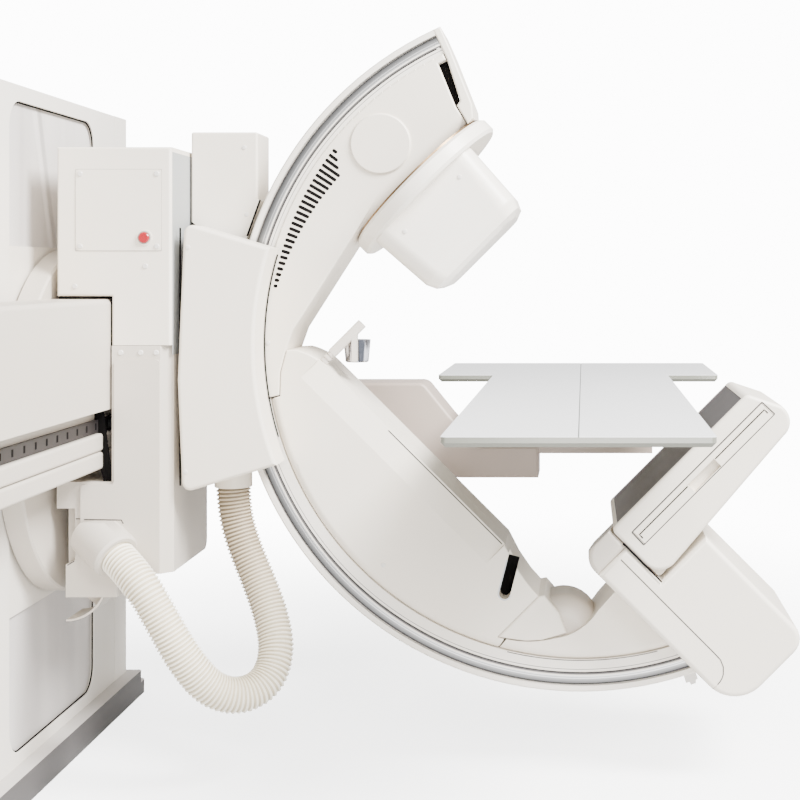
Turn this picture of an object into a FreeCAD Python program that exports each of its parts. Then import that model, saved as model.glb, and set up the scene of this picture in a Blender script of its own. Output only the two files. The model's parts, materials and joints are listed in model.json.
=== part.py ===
import FreeCAD, Part
import math
import os

# Floor-standing C-arm X-ray system: a lift stand carries a tilting beam, on the beam runs a
# carriage, and the carriage holds a C-shaped arm with a tube housing and a flat detector.
# The origin is the middle of the base plate's underside. X points from the stand to the
# patient table, Y runs along the table and away from the foot end, and Z points up.
V = FreeCAD.Vector
os.makedirs("parts", exist_ok=True)

# Clearances and walls
RUN_GAP = 0.3          # between bodies that move past each other
SEAM = 1.0             # visible joint between two covers of one body
SHELL = 5.0            # wall of a moulded cover

# Stand
STAND_BACK = -330.0
STAND_FRONT = 330.0
STAND_HALF = 595.0     # half width along Y
STAND_TOP = 1799.0
PANEL_HALF = 470.0     # half width of the front panel
PANEL_THICK = 12.0
PLINTH_TOP = 77.0
SHEET = 4.0            # wall of the stand's sheet parts
PLINTH_SHELF = 14.0    # width of the plinth's shelf inside the housing
PLINTH_PROUD = 44.0    # plinth and base plate in front of and behind the stand
BASE_THICK = 40.0
BASE_HALF = 650.0
BOLT_X = 300.0         # floor anchor holes
BOLT_Y = 622.0
BOLT_R = 9.0
WINDOW_Y0 = -366.0
WINDOW_Y1 = 280.0
WINDOW_Z0 = 110.0
WINDOW_Z1 = 1757.0
WINDOW_R = 70.0
BLIND_THICK = 8.0
RAIL_Y = 255.0         # vertical guide rails
RAIL_WIDE = 40.0
SCREW_R = 18.0
SCREW_X = 85.0

# Lift saddle and tilt disc
SADDLE_Z0 = 460.0
SADDLE_Z1 = 1390.0
SADDLE_THICK = 8.0
TILT_Z = 925.0
DISC_R = 460.0
DISC_FRONT = 389.0
DISC_GAP = 3.3         # between the stand's front panel and the disc
BEARING_R = 240.0

# Longitudinal beam
BEAM_HALF = 1100.0
BEAM_RIGHT = 543.0
BEAM_TUBE_RIGHT = 500.0
RAIL_RIGHT = 522.0
BEAM_TOP = 1255.0
BEAM_BOTTOM = 818.0
COVER_BOTTOM = 973.0
RACK_Z0 = 912.0
RACK_Z1 = 945.0
RACK_PITCH = 70.0
RACK_THICK = 10.0
RAIL_SPLIT = 864.0

# Isocentre, where the arm's axes cross, and the direction of the X-ray beam
ISO_X = 1752.0
ISO_Z = 1133.0
BEAM_ANGLE = -45.0

# Carriage
CAR_LEFT = 407.0
CAR_RIGHT = 700.0
CAR_NOTCH = 548.0      # the inner wall beside the beam
CAR_FRONT = -250.0
CAR_BACK = 250.0
CAR_LOW_BACK = 120.0
CAR_TOP = 1646.0
CAR_NOTCH_TOP = 1263.0
CAR_NOTCH_LOW = 786.0
CAR_SEAM_Z = 1137.0
CAR_BOTTOM = 550.0
PIVOT_R = 118.0

# Holder that the arm slides in
HOLD_HALF = 245.0      # half depth along Y
CHEEK_IN = 125.0       # inner face of the cheeks
CHEEK_PLATE = 10.0
HOLD_LEFT = 714.0
HOLD_LIP_R = 840.0
HOLD_TOP_A = 162.4
HOLD_LOW_A = 201.3

# C-shaped arm, radii about the isocentre
ARM_OUT = 923.0
ARM_IN = 854.0
ARM_HALF = 120.0
ARM_TOP_A = 115.2      # upper end of the beam of the arm
ARM_LOW_A = 293.0
TRACK_RIM = 16.0       # flange outside the track's recess
TRACK_EDGE = 5.0       # gap between that flange and the track
TRACK_WIDE = 21.0
TRACK_OUT = ARM_OUT - TRACK_RIM - TRACK_EDGE
TRACK_IN = TRACK_OUT - TRACK_WIDE
COVER_R = ARM_IN      # the upper covers meet the beam here
CHORD_R = ARM_IN - 16  # the lower covers meet a liner inside the beam here
LINER_A = 189.95
CORNER_A = 393.5       # seam between the chord cover and the corner cover
CHORD_B = -520.0       # straight edge of the chord cover, along the beam's cross axis

# Tube end
SEAT_A = -627.0
FLANGE_A0 = -621.0
FLANGE_A1 = -575.0
FLANGE_R = 242.0
HOOD_A1 = -363.0
TUBE_A = -752.0
TUBE_R = 78.0
VENTS = 26
RIM_ROUND = 24.0       # round front edge of the covers inside the arm

# Detector end
FACE_A = 389.0
BOX_A1 = 567.0         # back of the box at its foot
BOX_TOP_A1 = 534.0     # and at its head, where it is slimmer
BOX_B0 = -280.0
BOX_B1 = 258.0
FACE_B1 = 220.0        # upper end of the face, where the end wall slopes back
BOX_HALF = 235.0
BOX_CORE = 208.0       # half depth of the square-cornered core behind the round corner
COL_A0 = 382.0
COL_CAP_A = 449.0
COL_A1 = 950.0
COL_B0 = -387.0
COL_B1 = -120.0
COL_SEAM_B = -316.0
COL_HALF = 232.0
TRAY_A0 = 433.0
TRAY_A1 = 475.0
TRAY_B0 = -243.0
TRAY_B1 = 226.0
TRAY_DEEP = 380.0

# Table
TABLE_TOP = 963.0
TABLE_THICK = 24.0
TABLE_X0 = 1443.0
TABLE_X1 = 2053.0
TABLE_WIDE_X0 = 1251.0
TABLE_WIDE_X1 = 2228.0
TABLE_NEAR = -800.0
TABLE_NECK = 1140.0
TABLE_FAR = 1819.0
ARM_Y0 = 470.0
ARM_Y1 = 640.0
HEAD_Z0 = 696.0
HEAD_Z1 = 792.0

# Hose
HOSE_R = 46.0
COLLAR_R = 62.0
COLLAR_TOP = 688.0
SOCKET_R = HOSE_R + 3.5
HOSE_ROUTE = [
    (565, -290, 610), (640, -340, 560), (710, -350, 445), (763, -340, 345), (821, -315, 266),
    (889, -280, 242), (946, -235, 268), (962, -190, 339), (936, -150, 424), (896, -122, 509),
    (849, -104, 609), (824, -95, 703), (824, -95, 775),
]


def box(x0, x1, y0, y1, z0, z1):
    return Part.makeBox(x1 - x0, y1 - y0, z1 - z0, V(x0, y0, z0))


def polar(radius, angle):
    """X and Z of a point seen from the isocentre, the angle counted from +X towards +Z."""
    turn = math.radians(angle)
    return (ISO_X + radius * math.cos(turn), ISO_Z + radius * math.sin(turn))


def along_beam(a, b):
    """X and Z of a point a along the X-ray beam and b across it, from the isocentre."""
    turn = math.radians(BEAM_ANGLE)
    x = ISO_X + a * math.cos(turn) - b * math.sin(turn)
    z = ISO_Z + a * math.sin(turn) + b * math.cos(turn)
    return (x, z)


def outline(entries, y):
    """Closed wire at Y=y. An entry of two numbers is a corner, one of four an arc's middle and end."""
    here = V(entries[0][0], y, entries[0][1])
    edges = []
    for entry in entries[1:] + entries[:1]:
        there = V(entry[-2], y, entry[-1])
        if len(entry) == 4:
            edges.append(Part.Arc(here, V(entry[0], y, entry[1]), there).toShape())
        elif (there - here).Length > 0.001:
            edges.append(Part.LineSegment(here, there).toShape())
        here = there
    return Part.Wire(edges)


def slab(entries, y0, y1):
    return Part.Face(outline(entries, y0)).extrude(V(0, y1 - y0, 0))


def inset_slab(entries, wall, y0, y1):
    """The slab of the same outline drawn in by a wall."""
    inner = outline(entries, y0).makeOffset2D(-wall)
    return Part.Face(inner).extrude(V(0, y1 - y0, 0))


def drum_y(centre, radius, y0, y1):
    return Part.makeCylinder(radius, y1 - y0, V(centre[0], y0, centre[1]), V(0, 1, 0))


def drum_x(x0, x1, y, z, radius):
    return Part.makeCylinder(radius, x1 - x0, V(x0, y, z), V(1, 0, 0))


def beam_drum(a0, a1, radius):
    """Cylinder on the X-ray beam's axis."""
    x, z = along_beam(a0, 0)
    turn = math.radians(BEAM_ANGLE)
    return Part.makeCylinder(radius, a1 - a0, V(x, 0, z), V(math.cos(turn), 0, math.sin(turn)))


def runs_along(axis):
    """Chooses straight edges parallel to an axis."""
    def pick(edge):
        if len(edge.Vertexes) < 2 or not isinstance(edge.Curve, Part.Line):
            return False
        way = edge.Vertexes[1].Point - edge.Vertexes[0].Point
        return abs(abs(way.normalize().dot(axis)) - 1) < 0.001
    return pick


def lies_at(axis, value):
    """Chooses edges that lie in one plane across an axis."""
    def pick(edge):
        low = edge.BoundBox
        spans = ((low.XMin, low.XMax), (low.YMin, low.YMax), (low.ZMin, low.ZMax))
        span = spans[[axis.x, axis.y, axis.z].index(1)]
        return abs(span[0] - value) < 0.01 and abs(span[1] - value) < 0.01
    return pick


def soften(shape, radius, pick):
    """Rounds the chosen edges."""
    return shape.makeFillet(radius, [edge for edge in shape.Edges if pick(edge)])


def bevel(shape, size, pick):
    """Chamfers the chosen edges."""
    return shape.makeChamfer(size, [edge for edge in shape.Edges if pick(edge)])


def mirror_y(shape):
    return shape.mirror(V(0, 0, 0), V(0, 1, 0))


def save(name, *solids):
    """Writes one node; several solids of a node stay separate."""
    found = [solid for shape in solids for solid in shape.Solids]
    for solid in found:
        if not solid.isValid() or solid.Volume <= 0:
            print("BAD", name, solid.Volume)
    shape = found[0] if len(found) == 1 else Part.makeCompound(found)
    shape.exportStep("parts/" + name + ".step")
    print(name, len(found), round(sum(solid.Volume for solid in found) / 1e6, 2), "litres")


X_AXIS = V(1, 0, 0)
Y_AXIS = V(0, 1, 0)
Z_AXIS = V(0, 0, 1)


# Stand

def base_plate():
    front = STAND_FRONT + PLINTH_PROUD
    plate = box(-front, front, -BASE_HALF, BASE_HALF, 0, BASE_THICK)
    plate = soften(plate, 25, runs_along(Z_AXIS))
    for x in (-BOLT_X, BOLT_X):
        for y in (-BOLT_Y, BOLT_Y):
            plate = plate.cut(Part.makeCylinder(BOLT_R, BASE_THICK, V(x, y, 0)))
    side = STAND_HALF + 10
    back = STAND_BACK - 10
    plinth = box(back, front, -side, side, BASE_THICK, PLINTH_TOP)
    plinth = soften(plinth, 12, runs_along(Z_AXIS))
    hollow = box(back + SHEET, front - SHEET, SHEET - side, side - SHEET, BASE_THICK,
                 PLINTH_TOP - SHEET)
    well = box(STAND_BACK + PLINTH_SHELF, STAND_FRONT - PANEL_THICK - PLINTH_SHELF,
               PLINTH_SHELF - STAND_HALF, STAND_HALF - PLINTH_SHELF, BASE_THICK, PLINTH_TOP)
    return plate.fuse(plinth.cut(hollow).cut(well)).removeSplitter()


def stand_housing():
    """Sheet housing with front returns, open under the front panel, on the plinth's shelf."""
    panel_back = STAND_FRONT - PANEL_THICK
    body = box(STAND_BACK, STAND_FRONT, -STAND_HALF, STAND_HALF, PLINTH_TOP, STAND_TOP)
    body = soften(body, 12, runs_along(Z_AXIS))
    inside = box(STAND_BACK + SHEET, panel_back - SHEET, SHEET - STAND_HALF, STAND_HALF - SHEET,
                 PLINTH_TOP, STAND_TOP - SHEET)
    mouth = box(panel_back, STAND_FRONT, -PANEL_HALF - SEAM, PANEL_HALF + SEAM,
                PLINTH_TOP, STAND_TOP)
    flange = box(panel_back - SHEET, STAND_FRONT, 40 - PANEL_HALF, PANEL_HALF - 40,
                 WINDOW_Z0 - 16, WINDOW_Z1 + 18)
    return body.cut(inside).cut(mouth).cut(flange).removeSplitter()


def window(x0, x1):
    opening = box(x0, x1, WINDOW_Y0, WINDOW_Y1, WINDOW_Z0, WINDOW_Z1)
    return soften(opening, WINDOW_R, runs_along(X_AXIS))


def stand_front_panel():
    back = STAND_FRONT - PANEL_THICK
    panel = box(back, STAND_FRONT, -PANEL_HALF, PANEL_HALF, PLINTH_TOP, STAND_TOP)
    return panel.cut(window(back, STAND_FRONT))


def blind(z0, z1):
    back = STAND_FRONT - PANEL_THICK - RUN_GAP
    return box(back - BLIND_THICK, back, WINDOW_Y0 - 12, WINDOW_Y1 + 12, z0, z1)


FRAME_HALF = 60.0
COLUMN_Y = 480.0
FRAME_TOP = 1700.0


def upright_frame():
    """Two square tubes joined by cross tubes at the foot and at the head."""
    tube = 6.0
    cross_high = 60.0
    frame = []
    for side in (-1, 1):
        y = side * COLUMN_Y
        post = box(-FRAME_HALF, FRAME_HALF, y - FRAME_HALF, y + FRAME_HALF, BASE_THICK, FRAME_TOP)
        bore = box(tube - FRAME_HALF, FRAME_HALF - tube, y - FRAME_HALF + tube,
                   y + FRAME_HALF - tube, BASE_THICK, FRAME_TOP)
        frame.append(post.cut(bore))
    reach = COLUMN_Y - FRAME_HALF
    for z in (RAIL_FOOT, RAIL_HEAD - cross_high):
        bar = box(-FRAME_HALF, FRAME_HALF, -reach, reach, z, z + cross_high)
        bore = box(tube - FRAME_HALF, FRAME_HALF - tube, -reach, reach, z + tube,
                   z + cross_high - tube)
        frame.append(bar.cut(bore))
    return frame[0].multiFuse(frame[1:]).removeSplitter()


RAIL_FOOT = 100.0
RAIL_HEAD = FRAME_TOP
RAIL_FRONT = FRAME_HALF + 40.0


def lift_guide_rails():
    half = RAIL_WIDE / 2
    return [box(FRAME_HALF, RAIL_FRONT, y - half, y + half, RAIL_FOOT, RAIL_HEAD)
            for y in (-RAIL_Y, RAIL_Y)]


def lift_drive():
    """Standing screw between two bearing blocks, and the brake motor under it."""
    block = 46.0
    bearings = []
    for z in (RAIL_FOOT, RAIL_HEAD - block):
        bearings.append(box(FRAME_HALF, RAIL_FRONT + 10, -35, 35, z, z + block))
    screw = Part.makeCylinder(SCREW_R, RAIL_HEAD - RAIL_FOOT - 2 * block,
                              V(SCREW_X, 0, RAIL_FOOT + block))
    motor = Part.makeCylinder(70, RAIL_FOOT - BASE_THICK, V(SCREW_X, 0, BASE_THICK))
    return bearings + [screw, motor]


def counterweight():
    block = box(STAND_BACK + PLINTH_SHELF + 2, -70, -400, 400, BASE_THICK, 640)
    return soften(block, 15, runs_along(Z_AXIS))


def lift_saddle():
    """Cover plate in the window, a ribbed box behind it, guide shoes and the screw's nut."""
    back = STAND_FRONT - PANEL_THICK
    face = box(back, back + SADDLE_THICK, WINDOW_Y0 + 2, WINDOW_Y1 - 2, SADDLE_Z0, SADDLE_Z1)
    shoe_back = RAIL_FRONT + RUN_GAP
    web0, web1 = SADDLE_Z0 + 100, SADDLE_Z1 - 100
    saddle = face
    for y in (-RAIL_Y, RAIL_Y):
        saddle = saddle.fuse(box(shoe_back, back, y - 12, y + 12, web0, web1))
        for z in (web0, web1 - 160):
            grip = box(FRAME_HALF + 8, shoe_back + 30, y - 38, y + 38, z, z + 160)
            slot = box(FRAME_HALF, shoe_back, y - RAIL_WIDE / 2 - RUN_GAP,
                       y + RAIL_WIDE / 2 + RUN_GAP, z, z + 160)
            saddle = saddle.fuse(grip.cut(slot))
    for z in (web0, (web0 + web1) / 2 - 12, web1 - 24):
        saddle = saddle.fuse(box(shoe_back + 30, back, -RAIL_Y, RAIL_Y, z, z + 24))
    nut = box(SCREW_X - 20, shoe_back + 60, -45, 45, TILT_Z - 40, TILT_Z + 40)
    saddle = saddle.fuse(nut)
    bore = Part.makeCylinder(SCREW_R + 0.05, STAND_TOP, V(SCREW_X, 0, 0))
    return saddle.cut(bore).removeSplitter()


def tilt_bearing():
    back = STAND_FRONT - PANEL_THICK + SADDLE_THICK
    front = STAND_FRONT + DISC_GAP - RUN_GAP
    ring = drum_x(back, front, 0, TILT_Z, BEARING_R)
    return ring.cut(drum_x(back, front, 0, TILT_Z, BEARING_R - 70))


# Tilt frame

def tilt_disc():
    back = STAND_FRONT + DISC_GAP
    disc = drum_x(back, DISC_FRONT, 0, TILT_Z, DISC_R)
    return bevel(disc, 5, lies_at(X_AXIS, DISC_FRONT))


def longitudinal_beam():
    wall = 8.0
    top = BEAM_TOP - 15
    tube = box(DISC_FRONT, BEAM_TUBE_RIGHT, -BEAM_HALF, BEAM_HALF, BEAM_BOTTOM + 4, top)
    bore = box(DISC_FRONT + wall, BEAM_TUBE_RIGHT - wall, -BEAM_HALF, BEAM_HALF,
               BEAM_BOTTOM + 4 + wall, top - wall)
    return tube.cut(bore)


def beam_cover():
    """Long cover over the beam's top and side, closed by an end plate at each end."""
    wall = 6.0
    end = 5.0
    block = box(DISC_FRONT, BEAM_RIGHT, -BEAM_HALF - end, BEAM_HALF + end, COVER_BOTTOM, BEAM_TOP)
    top_right = lambda edge: (runs_along(Y_AXIS)(edge) and edge.BoundBox.XMin > BEAM_RIGHT - 1
                              and edge.BoundBox.ZMin > BEAM_TOP - 1)
    block = soften(block, 14, top_right)
    inner = box(DISC_FRONT, BEAM_RIGHT - wall, -BEAM_HALF, BEAM_HALF, COVER_BOTTOM,
                BEAM_TOP - wall)
    lip = box(BEAM_TUBE_RIGHT, BEAM_RIGHT - wall, -BEAM_HALF, BEAM_HALF, COVER_BOTTOM,
              COVER_BOTTOM + wall)
    shell = block.cut(inner).fuse(lip)
    for y0 in (-BEAM_HALF - end, BEAM_HALF):
        shell = shell.fuse(box(DISC_FRONT, BEAM_RIGHT, y0, y0 + end, BEAM_BOTTOM, COVER_BOTTOM))
    return shell.removeSplitter()


def drive_rack():
    """Toothed strip under the cover, with a slot for each tooth space."""
    front = BEAM_TUBE_RIGHT + RACK_THICK
    strip = box(BEAM_TUBE_RIGHT, front, -BEAM_HALF, BEAM_HALF, RACK_Z0, RACK_Z1)
    slots = []
    y = -BEAM_HALF + RACK_PITCH
    while y < BEAM_HALF:
        slots.append(box(front - 6, front, y - 4, y + 4, RACK_Z0 + 9, RACK_Z1 - 8))
        y += RACK_PITCH
    return strip.cut(Part.makeCompound(slots))


def beam_rails():
    """Two round-nosed running rails, one above the other."""
    rails = []
    for z0, z1 in ((RAIL_SPLIT + 1, RACK_Z0 - 2), (BEAM_BOTTOM, RAIL_SPLIT - 1)):
        rail = box(BEAM_TUBE_RIGHT, RAIL_RIGHT, -BEAM_HALF, BEAM_HALF, z0, z1)
        nose = lambda edge: runs_along(Y_AXIS)(edge) and edge.BoundBox.XMin > RAIL_RIGHT - 1
        rails.append(soften(rail, 8, nose))
    return rails


def table_arm():
    """Cast arm behind the C, from the beam to the cross rail under the table."""
    profile = [
        (BEAM_RIGHT, 1010), (760, 986), (1254, 986), (1268, 983, 1280, 974), (1352, 885),
        (1412, 818), (1440, HEAD_Z1), (1621, HEAD_Z1), (1621, HEAD_Z0), (1385, HEAD_Z0),
        (1100, 720), (760, 830), (BEAM_RIGHT, RACK_Z0 + 3),
    ]
    arm = slab(profile, ARM_Y0, ARM_Y1)
    arm = soften(arm, 10, lies_at(Y_AXIS, ARM_Y0))
    rail = box(1612, 1969, ARM_Y0 + 10, ARM_Y1, HEAD_Z1 - 22, HEAD_Z1)
    foot = box(BEAM_TUBE_RIGHT + RACK_THICK, BEAM_RIGHT, ARM_Y0 + 20, ARM_Y1 - 20, RACK_Z0,
               COVER_BOTTOM)
    return arm.fuse(rail).removeSplitter(), foot


# Table

CROSS_Y1 = 1000.0


def cross_slide():
    """Hollow box that runs across the arm's rail and carries the tabletop."""
    low = HEAD_Z1 + RUN_GAP
    top = TABLE_TOP - TABLE_THICK - RUN_GAP
    wall = 8.0
    left, right = 1560, 1940
    body = box(left, right, ARM_Y0 + 12, CROSS_Y1, low, top)
    bore = box(left + wall, right - wall, ARM_Y0 + 12, CROSS_Y1, low + wall, top - wall)
    return body.cut(bore)


def table_top():
    corners = [
        (TABLE_X0, TABLE_NEAR), (TABLE_X1, TABLE_NEAR), (TABLE_X1, TABLE_NECK),
        (TABLE_WIDE_X1, TABLE_NECK), (TABLE_WIDE_X1, TABLE_FAR), (TABLE_WIDE_X0, TABLE_FAR),
        (TABLE_WIDE_X0, TABLE_NECK), (TABLE_X0, TABLE_NECK),
    ]
    low = TABLE_TOP - TABLE_THICK
    points = [V(x, y, low) for x, y in corners]
    board = Part.Face(Part.makePolygon(points + points[:1])).extrude(V(0, 0, TABLE_THICK))
    outer = lambda edge: runs_along(Z_AXIS)(edge) and not (
        abs(edge.BoundBox.YMin - TABLE_NECK) < 1 and TABLE_WIDE_X0 + 1 < edge.BoundBox.XMin
        < TABLE_WIDE_X1 - 1)
    board = soften(board, 12, outer)
    board = bevel(board, 10, lies_at(Z_AXIS, low))
    middle = (TABLE_X0 + TABLE_X1) / 2
    seam = box(middle - 1, middle + 1, TABLE_NEAR, TABLE_FAR, TABLE_TOP - 1.5, TABLE_TOP)
    return board.cut(seam)


# Carriage

def carriage_upper_profile():
    return [
        (CAR_LEFT, CAR_TOP), (CAR_RIGHT, CAR_TOP), (CAR_RIGHT, CAR_SEAM_Z),
        (CAR_NOTCH, CAR_SEAM_Z), (CAR_NOTCH, CAR_NOTCH_TOP), (CAR_LEFT, CAR_NOTCH_TOP),
    ]


def carriage_lower_profile():
    top = CAR_SEAM_Z - SEAM
    return [
        (CAR_NOTCH, top), (CAR_RIGHT, top), (CAR_RIGHT, CAR_BOTTOM), (560, CAR_BOTTOM),
        (560, 490), (430, 490), (430, 574), (454, 586), (454, 718), (CAR_LEFT, 718),
        (CAR_LEFT, CAR_NOTCH_LOW), (CAR_NOTCH, CAR_NOTCH_LOW),
    ]


def pivot_bore(grow):
    return drum_x(CAR_RIGHT - 60, CAR_RIGHT + 60, 0, ISO_Z, PIVOT_R + grow)


def carriage_upper_cover():
    profile = carriage_upper_profile()
    body = slab(profile, CAR_FRONT, CAR_BACK)
    body = soften(body, 7, lambda edge: lies_at(Y_AXIS, CAR_FRONT)(edge)
                  and edge.BoundBox.ZMax > CAR_SEAM_Z + 1)
    inner = inset_slab(profile, SHELL, CAR_FRONT + SHELL, CAR_BACK - SHELL)
    foot = box(CAR_NOTCH + SHELL, CAR_RIGHT - SHELL, CAR_FRONT + SHELL, CAR_BACK - SHELL,
               CAR_SEAM_Z, CAR_SEAM_Z + 20)
    body = body.cut(inner).cut(foot).cut(pivot_bore(3))
    return body.cut(button_bore())


BUTTON_X = 632.0
BUTTON_Z = 1413.0
BUTTON_R = 14.0
PANEL_PROUD = 2.0


def button_bore():
    return drum_y((BUTTON_X, BUTTON_Z), BUTTON_R + RUN_GAP, CAR_FRONT - 20, CAR_FRONT + 20)


def access_panel():
    """Screwed lid on the carriage with a raised collar round the stop button."""
    front = CAR_FRONT - PANEL_PROUD
    lid = box(456, 675, front, CAR_FRONT, 1380, 1588)
    lid = soften(lid, 8, runs_along(Y_AXIS))
    collar = drum_y((BUTTON_X, BUTTON_Z), BUTTON_R + 6, front - 3, front)
    return lid.fuse(collar).cut(button_bore())


def stop_button():
    head = drum_y((BUTTON_X, BUTTON_Z), BUTTON_R, CAR_FRONT - 11, CAR_FRONT + 1)
    return bevel(head, 2.5, lies_at(Y_AXIS, CAR_FRONT - 11))


def lower_cover_block():
    main = slab(carriage_lower_profile(), CAR_FRONT, CAR_LOW_BACK)
    right_front = lambda edge: (runs_along(Z_AXIS)(edge) and edge.BoundBox.XMin > CAR_RIGHT - 1
                                and edge.BoundBox.YMax < CAR_FRONT + 1)
    main = main.makeChamfer(28, [edge for edge in main.Edges if right_front(edge)])
    back_foot = lambda edge: (runs_along(X_AXIS)(edge) and edge.BoundBox.YMin > CAR_LOW_BACK - 1
                              and abs(edge.BoundBox.ZMin - CAR_BOTTOM) < 1)
    return soften(main, 28, back_foot)


def face_pad():
    """Raised field on the lower cover's front."""
    profile = [
        (556, 1092), (560, 1098, 566, 1100), (662, 1100), (668, 1098, 672, 1092),
        (672, CAR_BOTTOM + 2), (470, CAR_BOTTOM + 2), (470, 770), (473, 777, 480, 780),
        (546, 780), (553, 783, 556, 790),
    ]
    return slab(profile, CAR_FRONT - 8, CAR_FRONT)


def carriage_lower_cover():
    block = lower_cover_block()
    inner = inset_slab(carriage_lower_profile(), SHELL, CAR_FRONT + SHELL, CAR_LOW_BACK - SHELL)
    inner = inner.cut(box(CAR_RIGHT - 34, CAR_RIGHT, CAR_FRONT, CAR_FRONT + 34, 0, CAR_TOP))
    mouth = box(CAR_NOTCH + SHELL, CAR_RIGHT - SHELL, CAR_FRONT + 34, CAR_LOW_BACK - SHELL,
                CAR_SEAM_Z - 30, CAR_SEAM_Z)
    apron = box(CAR_LEFT + 16, CAR_LEFT + 54, CAR_FRONT + 42, CAR_LOW_BACK, CAR_BOTTOM + 22,
                CAR_NOTCH_LOW - 62)
    cover = block.cut(inner).cut(mouth).fuse(face_pad()).fuse(apron).cut(pivot_bore(3))
    cover = cover.cut(hose_bore())
    for start, y, z, radius in roller_places():
        cover = cover.cut(drum_x(BEAM_RIGHT, PIN_END, y, z, PIN_R + 1))
    return cover.removeSplitter()


FRAME_X0 = 600.0
FRAME_X1 = 640.0


def carriage_frame():
    """Back plate inside the covers, with the roll bearing's hub and the roller brackets."""
    plate = box(FRAME_X0, FRAME_X1, -200, 100, 580, 1600)
    hub = drum_x(FRAME_X1, CAR_RIGHT - 10, 0, ISO_Z, PIVOT_R)
    bracket = box(CAR_NOTCH + SHELL + 1, FRAME_X0, -180, 90, 640, 1060)
    window_cut = box(CAR_NOTCH + SHELL + 1, FRAME_X0, -150, 60, 670, 760)
    foot = box(FRAME_X0, CAR_RIGHT - SHELL, -150, 60, 590, 650)
    head = box(FRAME_X0, CAR_RIGHT - SHELL, -150, 60, 1500, 1560)
    return plate.multiFuse([hub, bracket.cut(window_cut), foot, head]).removeSplitter()


PIN_R = 7.0
PIN_END = CAR_NOTCH + SHELL + 1


def roller_places():
    """Start in X, Y, Z and radius of the rollers under and over the beam's rails."""
    low_r = (BEAM_BOTTOM - CAR_NOTCH_LOW) / 2 - RUN_GAP
    high_r = 16.0
    start = BEAM_TUBE_RIGHT + RACK_THICK + 1
    low = [(start, y, BEAM_BOTTOM - RUN_GAP - low_r, low_r) for y in (-150, -30, 80)]
    high = [(start, y, RACK_Z0 - 2 + RUN_GAP + high_r, high_r)
            for y in (-150, 60)]
    return low + high


def carriage_rollers():
    """Rollers that hold the carriage on the rails, each on a pin in the carriage's frame."""
    rollers = []
    for start, y, z, radius in roller_places():
        wheel = drum_x(start, BEAM_RIGHT, y, z, radius)
        rollers.append(wheel.fuse(drum_x(BEAM_RIGHT - 4, PIN_END, y, z, PIN_R)))
    return rollers


def hose_axis():
    start, second = V(*HOSE_ROUTE[0]), V(*HOSE_ROUTE[1])
    return start, (second - start).normalize()


def hose_bore():
    mouth, way = hose_axis()
    return Part.makeCylinder(HOSE_R + RUN_GAP, 40, mouth - way * RUN_GAP, way)


def hose_collar():
    """Stub pipe on the carriage that the hose leaves through."""
    mouth, way = hose_axis()
    reach = 112.0
    seat = 16.0
    pipe = Part.makeCylinder(COLLAR_R, reach, mouth - way * (reach - seat), way)
    pipe = bevel(pipe, 6, lambda edge: abs((edge.BoundBox.Center - mouth).Length - seat) < 1)
    flat = box(CAR_LEFT, CAR_RIGHT, CAR_FRONT - 200, CAR_FRONT + 100, COLLAR_TOP, CAR_SEAM_Z)
    return pipe.cut(hose_bore()).cut(lower_cover_block()).cut(face_pad()).cut(flat)


def lower_guard():
    """Thin curved guard under the carriage's lower edge."""
    outer = [(521, 490), (486, 450, 430, 432), (430, 428), (490, 446, 526, 490)]
    fin = slab(outer, CAR_FRONT + 2, CAR_FRONT + 130)
    rib = slab([(450, 490), (522, 490), (490, 456)], CAR_FRONT + 60, CAR_FRONT + 66)
    return fin.fuse(rib).removeSplitter()


def screw_head(x, z, y):
    head = drum_y((x, z), 7, y - 2.5, y)
    return bevel(head, 1.5, lies_at(Y_AXIS, y - 2.5))


def cover_screws():
    """Button-head screws of the carriage's lid and covers."""
    heads = [screw_head(x, z, CAR_FRONT - PANEL_PROUD) for x in (467, 664) for z in (1391, 1577)]
    heads += [screw_head(x, 1118, CAR_FRONT) for x in (571, 622, 662)]
    heads += [screw_head(634, 1340, CAR_FRONT), screw_head(453, 1288, CAR_FRONT)]
    return heads


# Holder

def holder_profile(lip):
    """Side view of the holder: straight back, slanted top and foot, lip round the arm."""
    top = polar(lip, HOLD_TOP_A)
    foot = polar(lip, HOLD_LOW_A)
    middle = polar(lip, (HOLD_TOP_A + HOLD_LOW_A) / 2)
    return [
        (ISO_X - 1021, ISO_Z + 320), top, middle + foot, (ISO_X - 1026, ISO_Z - 378),
        (ISO_X - 1038, ISO_Z - 86),
    ]


def holder_core():
    """Casting: a block behind the arm and a cheek plate on each side."""
    wall = 7.0
    whole = inset_slab(holder_profile(HOLD_LIP_R), wall, -CHEEK_IN - CHEEK_PLATE,
                       CHEEK_IN + CHEEK_PLATE)
    channel = drum_y((ISO_X, ISO_Z), ARM_OUT + 5, -CHEEK_IN, CHEEK_IN)
    return whole.cut(channel)


def holder_front_cover():
    profile = holder_profile(HOLD_LIP_R)
    back = -CHEEK_IN - CHEEK_PLATE
    body = slab(profile, -HOLD_HALF, back)
    body = soften(body, 22, lambda edge: runs_along(Y_AXIS)(edge) and edge.BoundBox.XMax
                  < ISO_X - 1000)
    body = soften(body, 10, lies_at(Y_AXIS, -HOLD_HALF))
    inner = inset_slab(profile, 14, -HOLD_HALF + 12, back)
    return body.cut(inner)


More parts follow.
